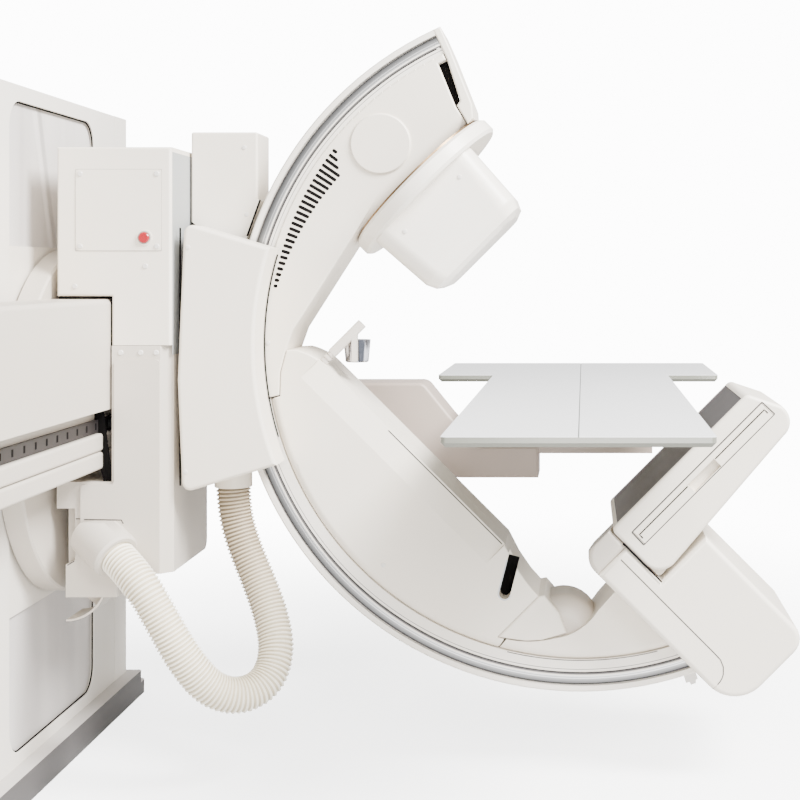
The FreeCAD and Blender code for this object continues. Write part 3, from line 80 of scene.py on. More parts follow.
class Wire:
    """An output socket that can be added, multiplied and compared."""

    def __init__(self, tree, socket):
        self.tree = tree
        self.socket = socket

    def feed(self, node, key, value):
        if isinstance(value, Wire):
            self.tree.links.new(value.socket, node.inputs[key])
        elif value is not None:
            node.inputs[key].default_value = value

    def make(self, kind, settings=None, inputs=None, output=0):
        """A node of any kind: its settings first, then the values or wires of its sockets."""
        node = self.tree.nodes.new(kind)
        for name, value in (settings or {}).items():
            if name == "stops":
                ramp = node.color_ramp
                while len(ramp.elements) < len(value):
                    ramp.elements.new(0.5)
                for element, (place, colour) in zip(ramp.elements, value):
                    element.position, element.color = place, colour
            else:
                setattr(node, name, value)
        for key, value in (inputs or {}).items():
            self.feed(node, key, value)
        return Wire(self.tree, node.outputs[output])

    def sum_up(self, operation, first, second=None):
        return self.make("ShaderNodeMath", {"operation": operation}, {0: first, 1: second})

    def __add__(self, other):
        return self.sum_up("ADD", self, other)

    __radd__ = __add__

    def __mul__(self, other):
        return self.sum_up("MULTIPLY", self, other)

    __rmul__ = __mul__

    def __sub__(self, other):
        return self.sum_up("SUBTRACT", self, other)

    def __rsub__(self, other):
        return self.sum_up("SUBTRACT", other, self)

    def __gt__(self, other):
        return self.sum_up("GREATER_THAN", self, other)

    def root(self):
        return self.sum_up("SQRT", self)

    def size(self):
        """The value without its sign."""
        return self.sum_up("ABSOLUTE", self)

    def part(self, index):
        """One coordinate of a position or direction: 0 for X, 1 for Y, 2 for Z."""
        return self.make("ShaderNodeSeparateXYZ", {}, {0: self}, index)

    def between(self, low, high):
        """0 at low, 1 at high, smooth in between."""
        return self.make("ShaderNodeMapRange", {"interpolation_type": "SMOOTHSTEP"},
                         {"Value": self, "From Min": low, "From Max": high})

    def blend(self, first, second):
        """A colour that goes from the first to the second as this goes from 0 to 1."""
        return self.make("ShaderNodeMix", {"data_type": "RGBA"},
                         {0: self, 6: first, 7: second}, 2)


def noise(point, scale, detail=3.0, rough=0.5):
    return point.make("ShaderNodeTexNoise", {},
                      {"Vector": point, "Scale": scale, "Detail": detail, "Roughness": rough})


def stretch(point, x, y, z):
    """The same point with its three directions scaled, for brushed or streaky patterns."""
    return point.make("ShaderNodeMapping", {}, {"Vector": point, "Scale": (x, y, z)})


print("shader helper ready")

# %% [markdown]
# Every finish starts the same way: a Principled shader with constants set on its own sockets, and
# the position on the object as the only thing that patterns read.

# %% Start a finish


def rgba(colour):
    return (colour[0], colour[1], colour[2], 1.0)


def new_finish(name, colour, rough, metal=0.0, coat=0.0):
    """An empty finish: the material, its shader node and the position wire."""
    material = bpy.data.materials.new(name)
    material.use_nodes = True
    tree = material.node_tree
    shader = tree.nodes["Principled BSDF"]
    shader.inputs["Base Color"].default_value = rgba(colour)
    shader.inputs["Roughness"].default_value = rough
    shader.inputs["Metallic"].default_value = metal
    shader.inputs["Coat Weight"].default_value = coat
    shader.inputs["Coat Roughness"].default_value = 0.15
    material.diffuse_color = rgba(colour)
    point = Wire(tree, None).make("ShaderNodeTexCoord", {}, {}, 3)
    return material, shader, point


def link(wire, shader, key):
    wire.tree.links.new(wire.socket, shader.inputs[key])


def bump(height, strength, distance):
    return height.make("ShaderNodeBump", {},
                       {"Height": height, "Strength": strength, "Distance": distance})


# %% [markdown]
# Medical equipment is moulded or sprayed in a warm off-white. Up close such a surface has a fine
# orange-peel texture, its gloss varies a little, and the tone is a touch warmer in broad patches.
# One function makes the whole family, so that covers, castings and sheet differ only in numbers.

# %% Off-white paint and moulded plastic


def shell_finish(name, colour, rough, peel=0.12, grain=900.0, coat=0.0):
    material, shader, point = new_finish(name, colour, rough, coat=coat)
    warm = (colour[0] * 0.985, colour[1] * 0.975, colour[2] * 0.955)
    patches = noise(point, 2.3, 2.0).between(0.35, 0.7)
    fine = noise(point, grain, 2.0)
    link(patches.blend(rgba(colour), rgba(warm)), shader, "Base Color")
    link(fine * 0.10 + patches * 0.05 + (rough - 0.07), shader, "Roughness")
    soft_peel = noise(point, grain * 0.35, 1.0)
    link(bump(soft_peel + fine * 0.3, peel, 0.0004), shader, "Normal")
    return material


WHITE = (0.80, 0.738, 0.645)
cover_white = shell_finish("cover_white", WHITE, 0.42)
# The same off-white cover paint, darkened: painted shade for covers that lie in shade.
cover_painted_shade = shell_finish("cover_painted_shade", (0.56, 0.51, 0.445), 0.42)
cast_white = shell_finish("cast_white", (0.76, 0.71, 0.64), 0.36, 0.16, 600)
stand_white = shell_finish("stand_white", (0.78, 0.735, 0.67), 0.45, 0.16, 500)
hood_white = shell_finish("collimator_white", (0.84, 0.79, 0.715), 0.34, 0.08)
dome_white = shell_finish("dome_white", (0.62, 0.56, 0.49), 0.38, 0.10)
print("off-white finishes ready")

# %% [markdown]
# The sides of the stand's base are painted darker than its top: painted shade on the sides and
# painted light on the top, so that finish reads which way a face looks. The blinds in the window
# are thin grey plastic sheet that hangs in long soft folds, so their bump is a noise that is
# stretched upwards, with one straight crease across the upper blind.

# %% Painted light and shade on the base, and hanging blinds


def blind_finish():
    material, shader, point = new_finish("blind_grey", (0.60, 0.57, 0.54), 0.5)
    folds = noise(stretch(point, 1, 1, 0.16), 4.5, 1.5)
    y, z = point.part(1), point.part(2)
    away = y + 0.146 + (z - 1.744) * 0.341
    crease = (1.0 - away.size() * 28.0).between(0.0, 1.0) * (z > 1.3)
    link(bump(folds + crease * 0.30, 0.8, 0.05), shader, "Normal")
    link(folds.between(0.35, 0.7).blend(rgba((0.64, 0.605, 0.575)), rgba((0.54, 0.505, 0.48))),
         shader, "Base Color")
    return material


blind_grey = blind_finish()


def base_shade_finish():
    """Painted light and shade: the sides of the base are dark as if in shade, faces that look up
    light.
    """
    side, top = (0.072, 0.066, 0.064), (0.52, 0.49, 0.46)
    material, shader, point = new_finish("base_grey", side, 0.5)
    facing = point.make("ShaderNodeNewGeometry", {}, {}, 1)
    # Painted light and shade: faces that look up get the light colour, all others the dark one.
    lit_face_up = facing.part(2) > 0.7
    link(lit_face_up.blend(rgba(side), rgba(top)), shader, "Base Color")
    link(bump(noise(point, 400.0), 0.2, 0.0005), shader, "Normal")
    return material


base_grey = base_shade_finish()
seam_grey = shell_finish("seam_grey", (0.045, 0.04, 0.037), 0.7, 0.1, 300)
soft_seam = shell_finish("soft_seam", (0.36, 0.33, 0.30), 0.6, 0.1, 300)
# The table arm's beige is darkened further as painted shade from the tabletop above it.
arm_beige_painted_shade = shell_finish("arm_beige_painted_shade", (0.43, 0.355, 0.305), 0.45, 0.16, 500)
# The cross slide's beige is brightened as painted light, so that it reads light in the table's
# shadow.
slide_beige_painted_light = shell_finish("slide_beige_painted_light", (0.97, 0.91, 0.80), 0.45, 0.16, 500)
frame_dark = shell_finish("frame_dark", (0.05, 0.055, 0.06), 0.5, 0.2, 400)
iron_dark = shell_finish("ballast_iron", (0.09, 0.09, 0.095), 0.7, 0.5, 120)
# Near black: the colour of dark joints, and painted shade where its plates and strips stand in gaps
# and openings.
near_black_and_painted_shade = shell_finish("near_black_and_painted_shade", (0.003, 0.0025, 0.0025), 0.9, 0.1, 300)
# A mid grey for the carriage's side towards the holder: painted shade.
side_painted_shade = shell_finish("side_painted_shade", (0.34, 0.35, 0.345), 0.6, 0.1, 300)
near_black_and_painted_shade.node_tree.nodes["Principled BSDF"].inputs["Specular IOR Level"].default_value = 0.1
print("grey and dark finishes ready")

# %% [markdown]
# The tracks in the arm's sides are ground steel. Grinding runs along the track, so the streaks
# follow circles round the isocentre: the noise reads the distance from the isocentre, and a ramp
# over the same distance paints the light and dark bands of its shallow steps: painted shade and
# painted reflection. The painted beam beside it has thin joint lines at their own distances.

# %% Distance from the isocentre, steel tracks and the lined beam


def from_iso(point):
    """The distance from the arm's axis, and the two coordinates that it is made of."""
    x = point.part(0) - ISO.x
    z = point.part(2) - ISO.z
    return (x * x + z * z).root(), x, z


TRACK_START, TRACK_WIDTH = 0.881, 0.021


def grey(level):
    return (level, level, level * 1.01, 1.0)


def ground_ring(name, rough):
    material, shader, point = new_finish(name, (0.62, 0.62, 0.63), rough, metal=1.0)
    reach, x, z = from_iso(point)
    lines = point.make("ShaderNodeCombineXYZ", {}, {0: reach * 700.0, 1: x * 3.0, 2: z * 3.0})
    streak = noise(lines, 1.0, 3.0)
    link(streak * 0.22 + (rough - 0.1), shader, "Roughness")
    link(bump(streak, 0.15, 0.0003), shader, "Normal")
    # Painted shade and reflection: bands of light and dark across the track's width.
    steps = [(0.0, grey(0.70)), (0.18, grey(0.64)), (0.24, grey(0.24)), (0.29, grey(0.62)),
             (0.40, grey(0.70)), (0.45, grey(0.36)), (0.62, grey(0.30)), (0.80, grey(0.20)),
             (0.92, grey(0.16)), (0.97, grey(0.06)), (1.0, grey(0.03))]
    place = (reach - TRACK_START) * (1 / TRACK_WIDTH)
    link(point.make("ShaderNodeValToRGB", {"stops": steps}, {0: place}), shader, "Base Color")
    return material


def lined_paint(name, colour, rough, lines):
    """Paint with thin dark rings at the given distances from the isocentre."""
    material = shell_finish(name, colour, rough, 0.16, 600)
    tree = material.node_tree
    shader = tree.nodes["Principled BSDF"]
    point = Wire(tree, None).make("ShaderNodeTexCoord", {}, {}, 3)
    reach = from_iso(point)[0]
    clear = None
    for radius, width in lines:
        beside = (reach - radius).size().between(width * 0.4, width)
        clear = beside if clear is None else clear * beside
    paint = Wire(tree, shader.inputs["Base Color"].links[0].from_socket)
    link(clear.blend((0.09, 0.085, 0.085, 1.0), paint), shader, "Base Color")
    return material


def turned_steel(name, colour, rough):
    """Straight brushed metal, streaked across one direction."""
    material, shader, point = new_finish(name, colour, rough, metal=1.0)
    streak = noise(stretch(point, 1, 1, 40), 30.0, 4.0)
    link(streak * 0.2 + (rough - 0.1), shader, "Roughness")
    link(bump(streak, 0.1, 0.0003), shader, "Normal")
    return material


track_steel = ground_ring("track_steel", 0.34)
beam_white = lined_paint("beam_white", (0.82, 0.77, 0.70), 0.36,
                         [(0.9052, 0.0016), (0.8748, 0.0038), (0.8640, 0.0011)])
guide_steel = turned_steel("guide_steel", (0.55, 0.55, 0.56), 0.3)
inner_metal = turned_steel("inner_metal", (0.45, 0.46, 0.47), 0.45)
bearing_brass = turned_steel("bearing_brass", (0.20, 0.13, 0.07), 0.35)
rack_dark = shell_finish("rack_dark", (0.014, 0.011, 0.011), 0.55, 0.2, 700)
print("metals ready")

# %% [markdown]
# The small parts: polished chrome for the compression cup with painted reflections in its colour,
# red gloss for the stop button, black rubber for the rollers, a cream plastic for the ribbed hose
# with painted shade between its ribs, and a dark grey face for the grid, darkened as painted shade.

# %% Small finishes


def chrome_finish():
    material, shader, point = new_finish("cup_chrome", (0.40, 0.41, 0.44), 0.08, metal=1.0)
    # Painted reflection: upright streaks of dark and light in the chrome's colour.
    painted_reflection_streaks = noise(stretch(point, 1, 1, 0.12), 55.0, 2.0)
    link(painted_reflection_streaks.between(0.40, 0.60).blend((0.07, 0.075, 0.09, 1), (0.62, 0.62, 0.66, 1)),
         shader, "Base Color")
    link(painted_reflection_streaks * 0.08 + 0.04, shader, "Roughness")
    return material


def rubber_finish():
    material, shader, point = new_finish("roller_black", (0.012, 0.012, 0.012), 0.7)
    link(bump(noise(point, 900.0), 0.3, 0.0005), shader, "Normal")
    return material


def hose_finish():
    """Cream plastic with painted shade between the ribs, darker towards the upper end; it reads
    attributes.
    """
    material, shader, point = new_finish("hose_cream", (0.80, 0.74, 0.62), 0.45)
    rib = point.make("ShaderNodeAttribute", {"attribute_name": "rib"}, {}, 2)
    along = point.make("ShaderNodeAttribute", {"attribute_name": "along"}, {}, 2)
    # Painted shade: the troughs between the ribs are darker than the crests, at both ends of the
    # hose.
    lower_rib_shading = rib.between(0.1, 0.75).blend((0.56, 0.48, 0.34, 1), (0.98, 0.93, 0.80, 1))
    upper_rib_shading = rib.between(0.1, 0.75).blend((0.20, 0.155, 0.10, 1), (0.60, 0.51, 0.38, 1))
    link(along.between(0.5, 0.9).blend(lower_rib_shading, upper_rib_shading), shader, "Base Color")
    link(noise(point, 500.0) * 0.15 + 0.36, shader, "Roughness")
    return material


hose_cream = hose_finish()
cup_chrome = chrome_finish()
roller_black = rubber_finish()
button_red = shell_finish("button_red", (0.33, 0.008, 0.016), 0.3, 0.04, 400, 0.4)
screw_white = shell_finish("screw_white", (0.70, 0.67, 0.63), 0.3, 0.05)
press_white = shell_finish("press_white", (0.66, 0.61, 0.555), 0.25, 0.05)
# The grid's grey face is darkened further as painted shade of the tabletop above it.
grid_grey = shell_finish("grid_grey", (0.060, 0.050, 0.048), 0.42, 0.06, 500)
print("small finishes ready")

# %% [markdown]
# The tabletop is a white laminate on a core whose bare edge is grey-green. Its finish reads the
# height: everything below the laminate is edge. A thin dark line marks the joint down the middle.

# %% Tabletop laminate


LAMINATE = 0.0012


def table_finish(top, joint):
    material, shader, point = new_finish("table_white", (0.90, 0.905, 0.915), 0.2)
    height = point.part(2)
    aside = point.part(0) - joint
    cloud = noise(point, 2.0).between(0.3, 0.7)
    laminate = cloud.blend((0.97, 0.972, 0.98, 1), (0.95, 0.953, 0.96, 1))
    beside = aside.size().between(0.0008, 0.0022)
    jointed = beside.blend((0.20, 0.22, 0.21, 1), laminate)
    speckle = noise(point, 400.0, 2.0)
    core = speckle.blend((0.185, 0.188, 0.155, 1), (0.235, 0.238, 0.20, 1))
    link((height > top - LAMINATE).blend(core, jointed), shader, "Base Color")
    link(speckle * 0.08 + 0.16, shader, "Roughness")
    return material


TABLE_TOP, TABLE_JOINT = 0.963, 1.748
table_white = table_finish(TABLE_TOP, TABLE_JOINT)
print("tabletop at", TABLE_TOP)

# %% [markdown]
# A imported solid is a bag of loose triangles, so its edges are knife sharp and its curves are
# faceted. For each shown solid a copy is merged, flat areas become single faces, edges above an
# angle stay sharp, and where the solid has plain box edges a small bevel catches the light.

# %% Merge, smooth and bevel a solid

MERGE_GAP, SHARP_ANGLE, SAME_PLANE = 0.00001, 32.0, 0.99996
BODY_OF = {node: body for body, nodes in frame["record"]["behaviour"]["bodies"].items()
           for node in nodes}


def merged(node):
    """A bmesh of the solid with its triangles joined."""
    bm = bmesh.new()
    bm.from_mesh(frame["nodes"][node].data)
    bmesh.ops.remove_doubles(bm, verts=bm.verts, dist=MERGE_GAP)
    return bm


def flat_areas(bm):
    """For each face, the area of the whole flat region that it belongs to."""
    area = [0.0] * len(bm.faces)
    seen = set()
    for start in bm.faces:
        if start.index in seen:
            continue
        seen.add(start.index)
        region, queue = [], [start]
        while queue:
            face = queue.pop()
            region.append(face)
            for edge in face.edges:
                for other in edge.link_faces:
                    if other.index not in seen and other.normal.dot(face.normal) > SAME_PLANE:
                        seen.add(other.index)
                        queue.append(other)
        total = sum(face.calc_area() for face in region)
        for face in region:
            area[face.index] = total
    return area


def even_normals(bm, sharp):
    """Corner normals in which large flats outweigh the narrow faces of a round edge."""
    bm.faces.ensure_lookup_table()
    bm.faces.index_update()
    bm.normal_update()
    area, limit, out = flat_areas(bm), math.cos(math.radians(sharp)), []
    weight = {}
    for face in bm.faces:
        for loop in face.loops:
            weight[loop] = loop.calc_angle() * area[face.index]
    for face in bm.faces:
        for loop in face.loops:
            total = Vector((0, 0, 0))
            for other in loop.vert.link_loops:
                if other.face.normal.dot(face.normal) > limit:
                    total += other.face.normal * weight[other]
            out.append(total.normalized() if total.length > 1e-12 else face.normal.copy())
    return out


def finish_object(bm, name, body, material, *nodes, sharp=SHARP_ANGLE, even=False):
    """Makes a shown piece of a bmesh: smooth shading with sharp edges, a finish and a body."""
    normals = even_normals(bm, sharp) if even else None
    mesh = bpy.data.meshes.new(name)
    bm.to_mesh(mesh)
    bm.free()
    mesh.shade_smooth()
    mesh.set_sharp_from_angle(angle=math.radians(sharp))
    if normals:
        mesh.normals_split_custom_set(normals)
    mesh.materials.append(material)
    piece = bpy.data.objects.new(name, mesh)
    bpy.context.scene.collection.objects.link(piece)
    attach(piece, body)
    if nodes:
        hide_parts(*nodes)
    return piece


def dress(node, material, width, sharp):
    """The solid's own shape, evenly shaded and, where asked, with beveled edges."""
    bm = merged(node)
    if width:
        bmesh.ops.dissolve_limit(bm, angle_limit=math.radians(0.5), verts=bm.verts,
                                 edges=bm.edges)
    piece = finish_object(bm, node + "_skin", BODY_OF[node], material, node, sharp=sharp,
                          even=not width)
    if width:
        soft = piece.modifiers.new("edge", "BEVEL")
        soft.width, soft.segments = width, 3
        soft.limit_method, soft.angle_limit = "ANGLE", math.radians(50)
        soft.use_clamp_overlap = True
        soft.harden_normals = True


# %% [markdown]
# Most solids only need their finish, and a few castings and plates a bevel as well. A table of
# names, finishes and bevel widths is shorter than many calls, and one loop dresses them all. The
# arm's chord covers meet at shallow creases, which a smaller angle keeps sharp.

# %% Dress the plain solids

PLAIN = {
    "base_plate": (base_grey, 0.002), "stand_housing": (stand_white, 0.0),
    "upper_blind": (blind_grey, 0.0), "lower_blind": (blind_grey, 0.0),
    "upright_frame": (frame_dark, 0.0), "lift_guide_rails": (guide_steel, 0.001),
    "lift_drive": (guide_steel, 0.0), "counterweight": (iron_dark, 0.003),
    "stand_front_panel": (stand_white, 0.002), "lift_saddle": (cast_white, 0.0),
    "tilt_bearing": (guide_steel, 0.0), "tilt_disc": (cover_painted_shade, 0.0),
    "longitudinal_beam": (cover_painted_shade, 0.003), "beam_cover": (cover_painted_shade, 0.0),
    "drive_rack": (rack_dark, 0.0), "beam_rails": (cover_painted_shade, 0.0),
    "table_arm": (arm_beige_painted_shade, 0.004), "cross_slide": (slide_beige_painted_light, 0.003),
    "table_top": (table_white, 0.0),
    "carriage_frame": (inner_metal, 0.0), "carriage_upper_cover": (cover_white, 0.0),
    "access_panel": (cover_white, 0.0), "stop_button": (button_red, 0.0),
    "carriage_lower_cover": (cover_painted_shade, 0.0), "carriage_rollers": (roller_black, 0.0),
    "hose_collar": (cover_painted_shade, 0.0), "lower_guard": (cover_painted_shade, 0.0),
    "cover_screws": (screw_white, 0.0),
    "holder_core": (inner_metal, 0.0), "holder_front_cover": (cover_white, 0.0),
    "holder_rear_cover": (cover_white, 0.0), "drive_tower_cover": (cover_white, 0.0),
    "pivot_flange": (guide_steel, 0.0), "guide_rollers": (roller_black, 0.0),
    "hose_socket": (cover_white, 0.0),
    "c_beam": (beam_white, 0.0), "upper_cover_front": (cover_white, 0.0),
    "upper_cover_rear": (cover_white, 0.0),
    "tube_caps": (cover_white, 0.0), "xray_tube": (inner_metal, 0.0),
    "collimator_bearing": (bearing_brass, 0.0), "arm_end_plate": (cover_white, 0.0),
    "chord_cover_front": (cover_white, 0.0), "chord_cover_rear": (cover_white, 0.0),
    "corner_cover": (cover_white, 0.0), "dome_cap": (dome_white, 0.0),
    "lower_inner_cover": (cover_white, 0.0), "end_stop": (screw_white, 0.0),
    "detector_column": (cover_white, 0.0), "column_side_cover": (cover_white, 0.0),
    "column_top_cap": (cover_painted_shade, 0.0),
    "collimator_flange": (hood_white, 0.0), "collimator_hood": (hood_white, 0.0),
    "detector_box": (cover_white, 0.0), "grid_face": (grid_grey, 0.0),
    "cassette_tray": (cover_white, 0.0),
    "compression_arm": (press_white, 0.0), "compression_cup": (cup_chrome, 0.0),
}
CREASED = {"chord_cover_front": 12.5, "chord_cover_rear": 12.5}
for node, (material, width) in PLAIN.items():
    dress(node, material, width, CREASED.get(node, SHARP_ANGLE))
print("dressed", len(PLAIN), "solids")

# %% [markdown]
# The arm's two steel tracks are spun anew round the isocentre in fine steps, so that their ground
# rings run true. Their profile has the shallow groove of the solid and tucks under the beam's land.

# %% Tracks of the arm


def spun_track(bm, side, first, last):
    """One track, from its profile of radii and distances from the arm's middle plane."""
    profile = [(0.8795, 0.108), (0.8795, 0.1122), (0.8890, 0.1128), (0.8900, 0.1110),
               (0.8930, 0.1110), (0.8940, 0.1128), (0.9030, 0.1122), (0.9030, 0.108)]
    ring = [bmesh.ops.create_vert(bm, co=polar(r, first, side * y))["vert"][0] for r, y in profile]
    face = bmesh.ops.contextual_create(bm, geom=ring)["faces"]
    bmesh.ops.spin(bm, geom=face + ring + list(face[0].edges), cent=ISO, axis=(0, -1, 0),
                   angle=math.radians(last - first), steps=240, use_duplicate=False)


bm = merged("c_tracks")
turns = [math.degrees(math.atan2(v.co.z - ISO.z, v.co.x - ISO.x)) % 360 for v in bm.verts]
bm.free()
bm = bmesh.new()
for side in (-1, 1):
    spun_track(bm, side, min(turns) + 0.02, max(turns) - 0.35)
bmesh.ops.remove_doubles(bm, verts=bm.verts, dist=MERGE_GAP)
bmesh.ops.recalc_face_normals(bm, faces=bm.faces)
finish_object(bm, "c_tracks_spun", "c_arm", track_steel, "c_tracks", sharp=25)
print("track turns", round(min(turns), 2), round(max(turns), 2))

# %% [markdown]
# The hose is a ribbed protection hose for the arm's cables. It hangs from a stub pipe on the
# carriage and rises into the holder. Its line is a smooth NURBS curve through given control
# points, and the ribs are rings of vertices set along that line, wide and narrow by turns.

# %% The hose's line

HOSE_ROUTE = [
    (0.565, -0.290, 0.610), (0.640, -0.340, 0.560), (0.710, -0.350, 0.445),
    (0.763, -0.340, 0.345), (0.821, -0.315, 0.266), (0.889, -0.280, 0.242),
    (0.946, -0.235, 0.268), (0.962, -0.190, 0.339), (0.936, -0.150, 0.424),
    (0.896, -0.122, 0.509), (0.849, -0.104, 0.609), (0.824, -0.095, 0.703),
    (0.824, -0.095, 0.775),
]


def smooth_line(points, resolution):
    """Points read from a NURBS spline with these control points."""
    curve = bpy.data.curves.new("line", "CURVE")
    curve.dimensions = "3D"
    spline = curve.splines.new("NURBS")
    spline.points.add(len(points) - 1)
    for place, point in zip(spline.points, points):
        place.co = (*point, 1.0)
    spline.order_u = 3
    spline.use_endpoint_u = True
    spline.resolution_u = resolution
    holder = bpy.data.objects.new("line", curve)
    mesh = bpy.data.meshes.new_from_object(holder)
    line = [vertex.co.copy() for vertex in mesh.vertices]
    bpy.data.objects.remove(holder)
    bpy.data.meshes.remove(mesh)
    return line


def even_steps(line, step):
    """Walks the line and returns points a step apart, with the ends kept."""
    reach = [0.0]
    for a, b in zip(line, line[1:]):
        reach.append(reach[-1] + (b - a).length)
    count = round(reach[-1] / step)
    out, at = [], 0
    for index in range(count + 1):
        want = reach[-1] * index / count
        while at < len(line) - 2 and reach[at + 1] < want:
            at += 1
        part = (want - reach[at]) / max(reach[at + 1] - reach[at], 1e-9)
        out.append(line[at].lerp(line[at + 1], min(max(part, 0.0), 1.0)))
    return out, reach[-1]


hose_line = smooth_line(HOSE_ROUTE, 24)
RIB, RINGS_PER_RIB = 0.0105, 6
hose_points, hose_length = even_steps(hose_line, RIB / RINGS_PER_RIB)
print("hose length", round(hose_length, 3), "ribs", round(hose_length / RIB))

# %% [markdown]
# Each rib is six rings, and a cosine raised to a power makes its crest narrower than the trough.
# Every ring writes its height and its place along the hose into two attributes, which the hose's
# finish reads. The rings are turned with the line without a twist, and bridged one after the other.

# %% Rings along the hose


def ribbed_tube(points, crest, trough, around=36):
    """A closed tube of rings along points, wide and narrow by turns."""
    bm = bmesh.new()
    rib = bm.verts.layers.float.new("rib")
    along = bm.verts.layers.float.new("along")
    ring_before = None
    side = None
    for index, point in enumerate(points):
        ahead = points[min(index + 1, len(points) - 1)] - points[max(index - 1, 0)]
        ahead.normalize()
        if side is None:
            side = ahead.orthogonal().normalized()
        side = (side - ahead * side.dot(ahead)).normalized()
        other = ahead.cross(side)
        phase = (index % RINGS_PER_RIB) / RINGS_PER_RIB
        height = (0.5 + 0.5 * math.cos(2 * math.pi * phase)) ** 1.4
        radius = trough + (crest - trough) * height
        ring = bmesh.ops.create_circle(bm, segments=around, radius=radius)["verts"]
        for vert in ring:
            vert[rib], vert[along] = height, index / len(points)
        turn = Matrix((side, other, ahead)).transposed().to_4x4()
        bmesh.ops.transform(bm, matrix=Matrix.Translation(point) @ turn, verts=ring)
        edges = list({edge for vert in ring for edge in vert.link_edges
                      if edge.other_vert(vert) in ring})
        if ring_before:
            bmesh.ops.bridge_loops(bm, edges=ring_before + edges)
        else:
            bmesh.ops.holes_fill(bm, edges=edges)
        ring_before = edges
    bmesh.ops.holes_fill(bm, edges=ring_before)
    bmesh.ops.recalc_face_normals(bm, faces=bm.faces)
    return bm


RIB_CREST, RIB_TROUGH = 0.046, 0.0400
hose = finish_object(ribbed_tube(hose_points, RIB_CREST, RIB_TROUGH), "cable_hose_ribbed",
                     "carriage", hose_cream, "cable_hose", sharp=80)
print("hose faces", len(hose.data.polygons))

# %% [markdown]
# The fine lines of the machine come next: joints between covers, and dark strips and plates of
# painted shade round the window's edge and behind slots. Joints are thin strips that are laid on
# the
# front of a solid: rays shot at it find the surface, so a line given in X and Z follows every curve
# of the cover.

# %% Strips laid on a surface


def face_of(*nodes):
    """A search tree of the surface of one or more solids."""
    bm = bmesh.new()
    for node in nodes:
        bm.from_mesh(frame["nodes"][node].data)
    tree = BVHTree.FromBMesh(bm)
    bm.free()
    return tree


def dense(line, step=0.012):
    """The same line of X and Z pairs with points at most a step apart."""
    out = [line[0]]
    for (x0, z0), (x1, z1) in zip(line, line[1:]):
        count = max(1, math.ceil(math.hypot(x1 - x0, z1 - z0) / step))
        out += [(x0 + (x1 - x0) * i / count, z0 + (z1 - z0) * i / count)
                for i in range(1, count + 1)]
    return out


def lay_strip(bm, tree, line, width, rise=0.0005):
    """One strip with a small box section, half sunk in the surface in front of Y = -2."""
    places = []
    for x, z in dense(line):
        hit, normal = tree.ray_cast(Vector((x, -2.0, z)), Vector((0, 1, 0)))[:2]
        if hit:
            places.append((hit, normal))
    rows = []
    for index, (hit, normal) in enumerate(places):
        ahead = places[min(index + 1, len(places) - 1)][0] - places[max(index - 1, 0)][0]
        side = normal.cross(ahead).normalized() * (width / 2)
        rows.append([bm.verts.new(hit + side + normal * rise),
                     bm.verts.new(hit - side + normal * rise),
                     bm.verts.new(hit - side - normal * rise),
                     bm.verts.new(hit + side - normal * rise)])
    for one, two in zip(rows, rows[1:]):
        for i in range(4):
            bm.faces.new((one[i], one[(i + 1) % 4], two[(i + 1) % 4], two[i]))
    if rows:
        bm.faces.new(rows[0][::-1])
        bm.faces.new(rows[-1])


def joint_lines(name, body, nodes, lines, width, material):
    """One piece of all the strips that lie on the given solids."""
    bm, tree = bmesh.new(), face_of(*nodes)
    for line in lines:
        lay_strip(bm, tree, line, width)
    bmesh.ops.recalc_face_normals(bm, faces=bm.faces)
    finish_object(bm, name, body, material)


def beam_line(*pairs):
    """A line given along and across the X-ray beam, as X and Z pairs."""
    return [(p.x, p.z) for p in (in_beam(a, b) for a, b in pairs)]


def corner(centre, radius, first, last, steps=8):
    """Points of a round corner in the beam's own coordinates."""
    angles = [math.radians(first + (last - first) * i / steps) for i in range(steps + 1)]
    return [(centre[0] + radius * math.cos(t), centre[1] + radius * math.sin(t)) for t in angles]


print("strip helpers ready")

# %% [markdown]
# On the detector's side the column's cover ends in a round corner, and the cassette tray sits in a
# long slot. Both are easiest to give along and across the X-ray beam.

# %% Joints of the detector side

column_line = beam_line((0.451, -0.3158), *corner((0.816, -0.366), 0.050, 90, 0), (0.866, -0.385))
joint_lines("column_joint", "c_arm", ("detector_column", "column_side_cover"),
            [column_line], 0.0028, seam_grey)
tray_frame = beam_line(*corner((0.4335, -0.2435), 0.0020, 270, 180),
                       *corner((0.4335, 0.2265), 0.0020, 180, 90),
                       *corner((0.4740, 0.228), 0.0020, 90, 0),
                       *corner((0.4740, -0.245), 0.0020, 0, -90), (0.4335, -0.2455))
joint_lines("tray_frame_joint", "detector", ("detector_box",), [tray_frame], 0.0034, seam_grey)
tray_inner = beam_line((0.462, -0.236), (0.4494, -0.236), (0.4494, -0.060))
tray_upper = beam_line((0.4494, 0.040), (0.4494, 0.219), (0.462, 0.219))
joint_lines("tray_inner_joint", "tray", ("cassette_tray",), [tray_inner, tray_upper], 0.0032,
            near_black_and_painted_shade)
print("detector joints laid")

# %% [markdown]
# The carriage has an access panel with a hairline joint and a collar that meets its lower cover. On
# the arm, one line runs along the folded edge of the large chord cover, and a short one ends it.

# %% Joints of the carriage and the arm

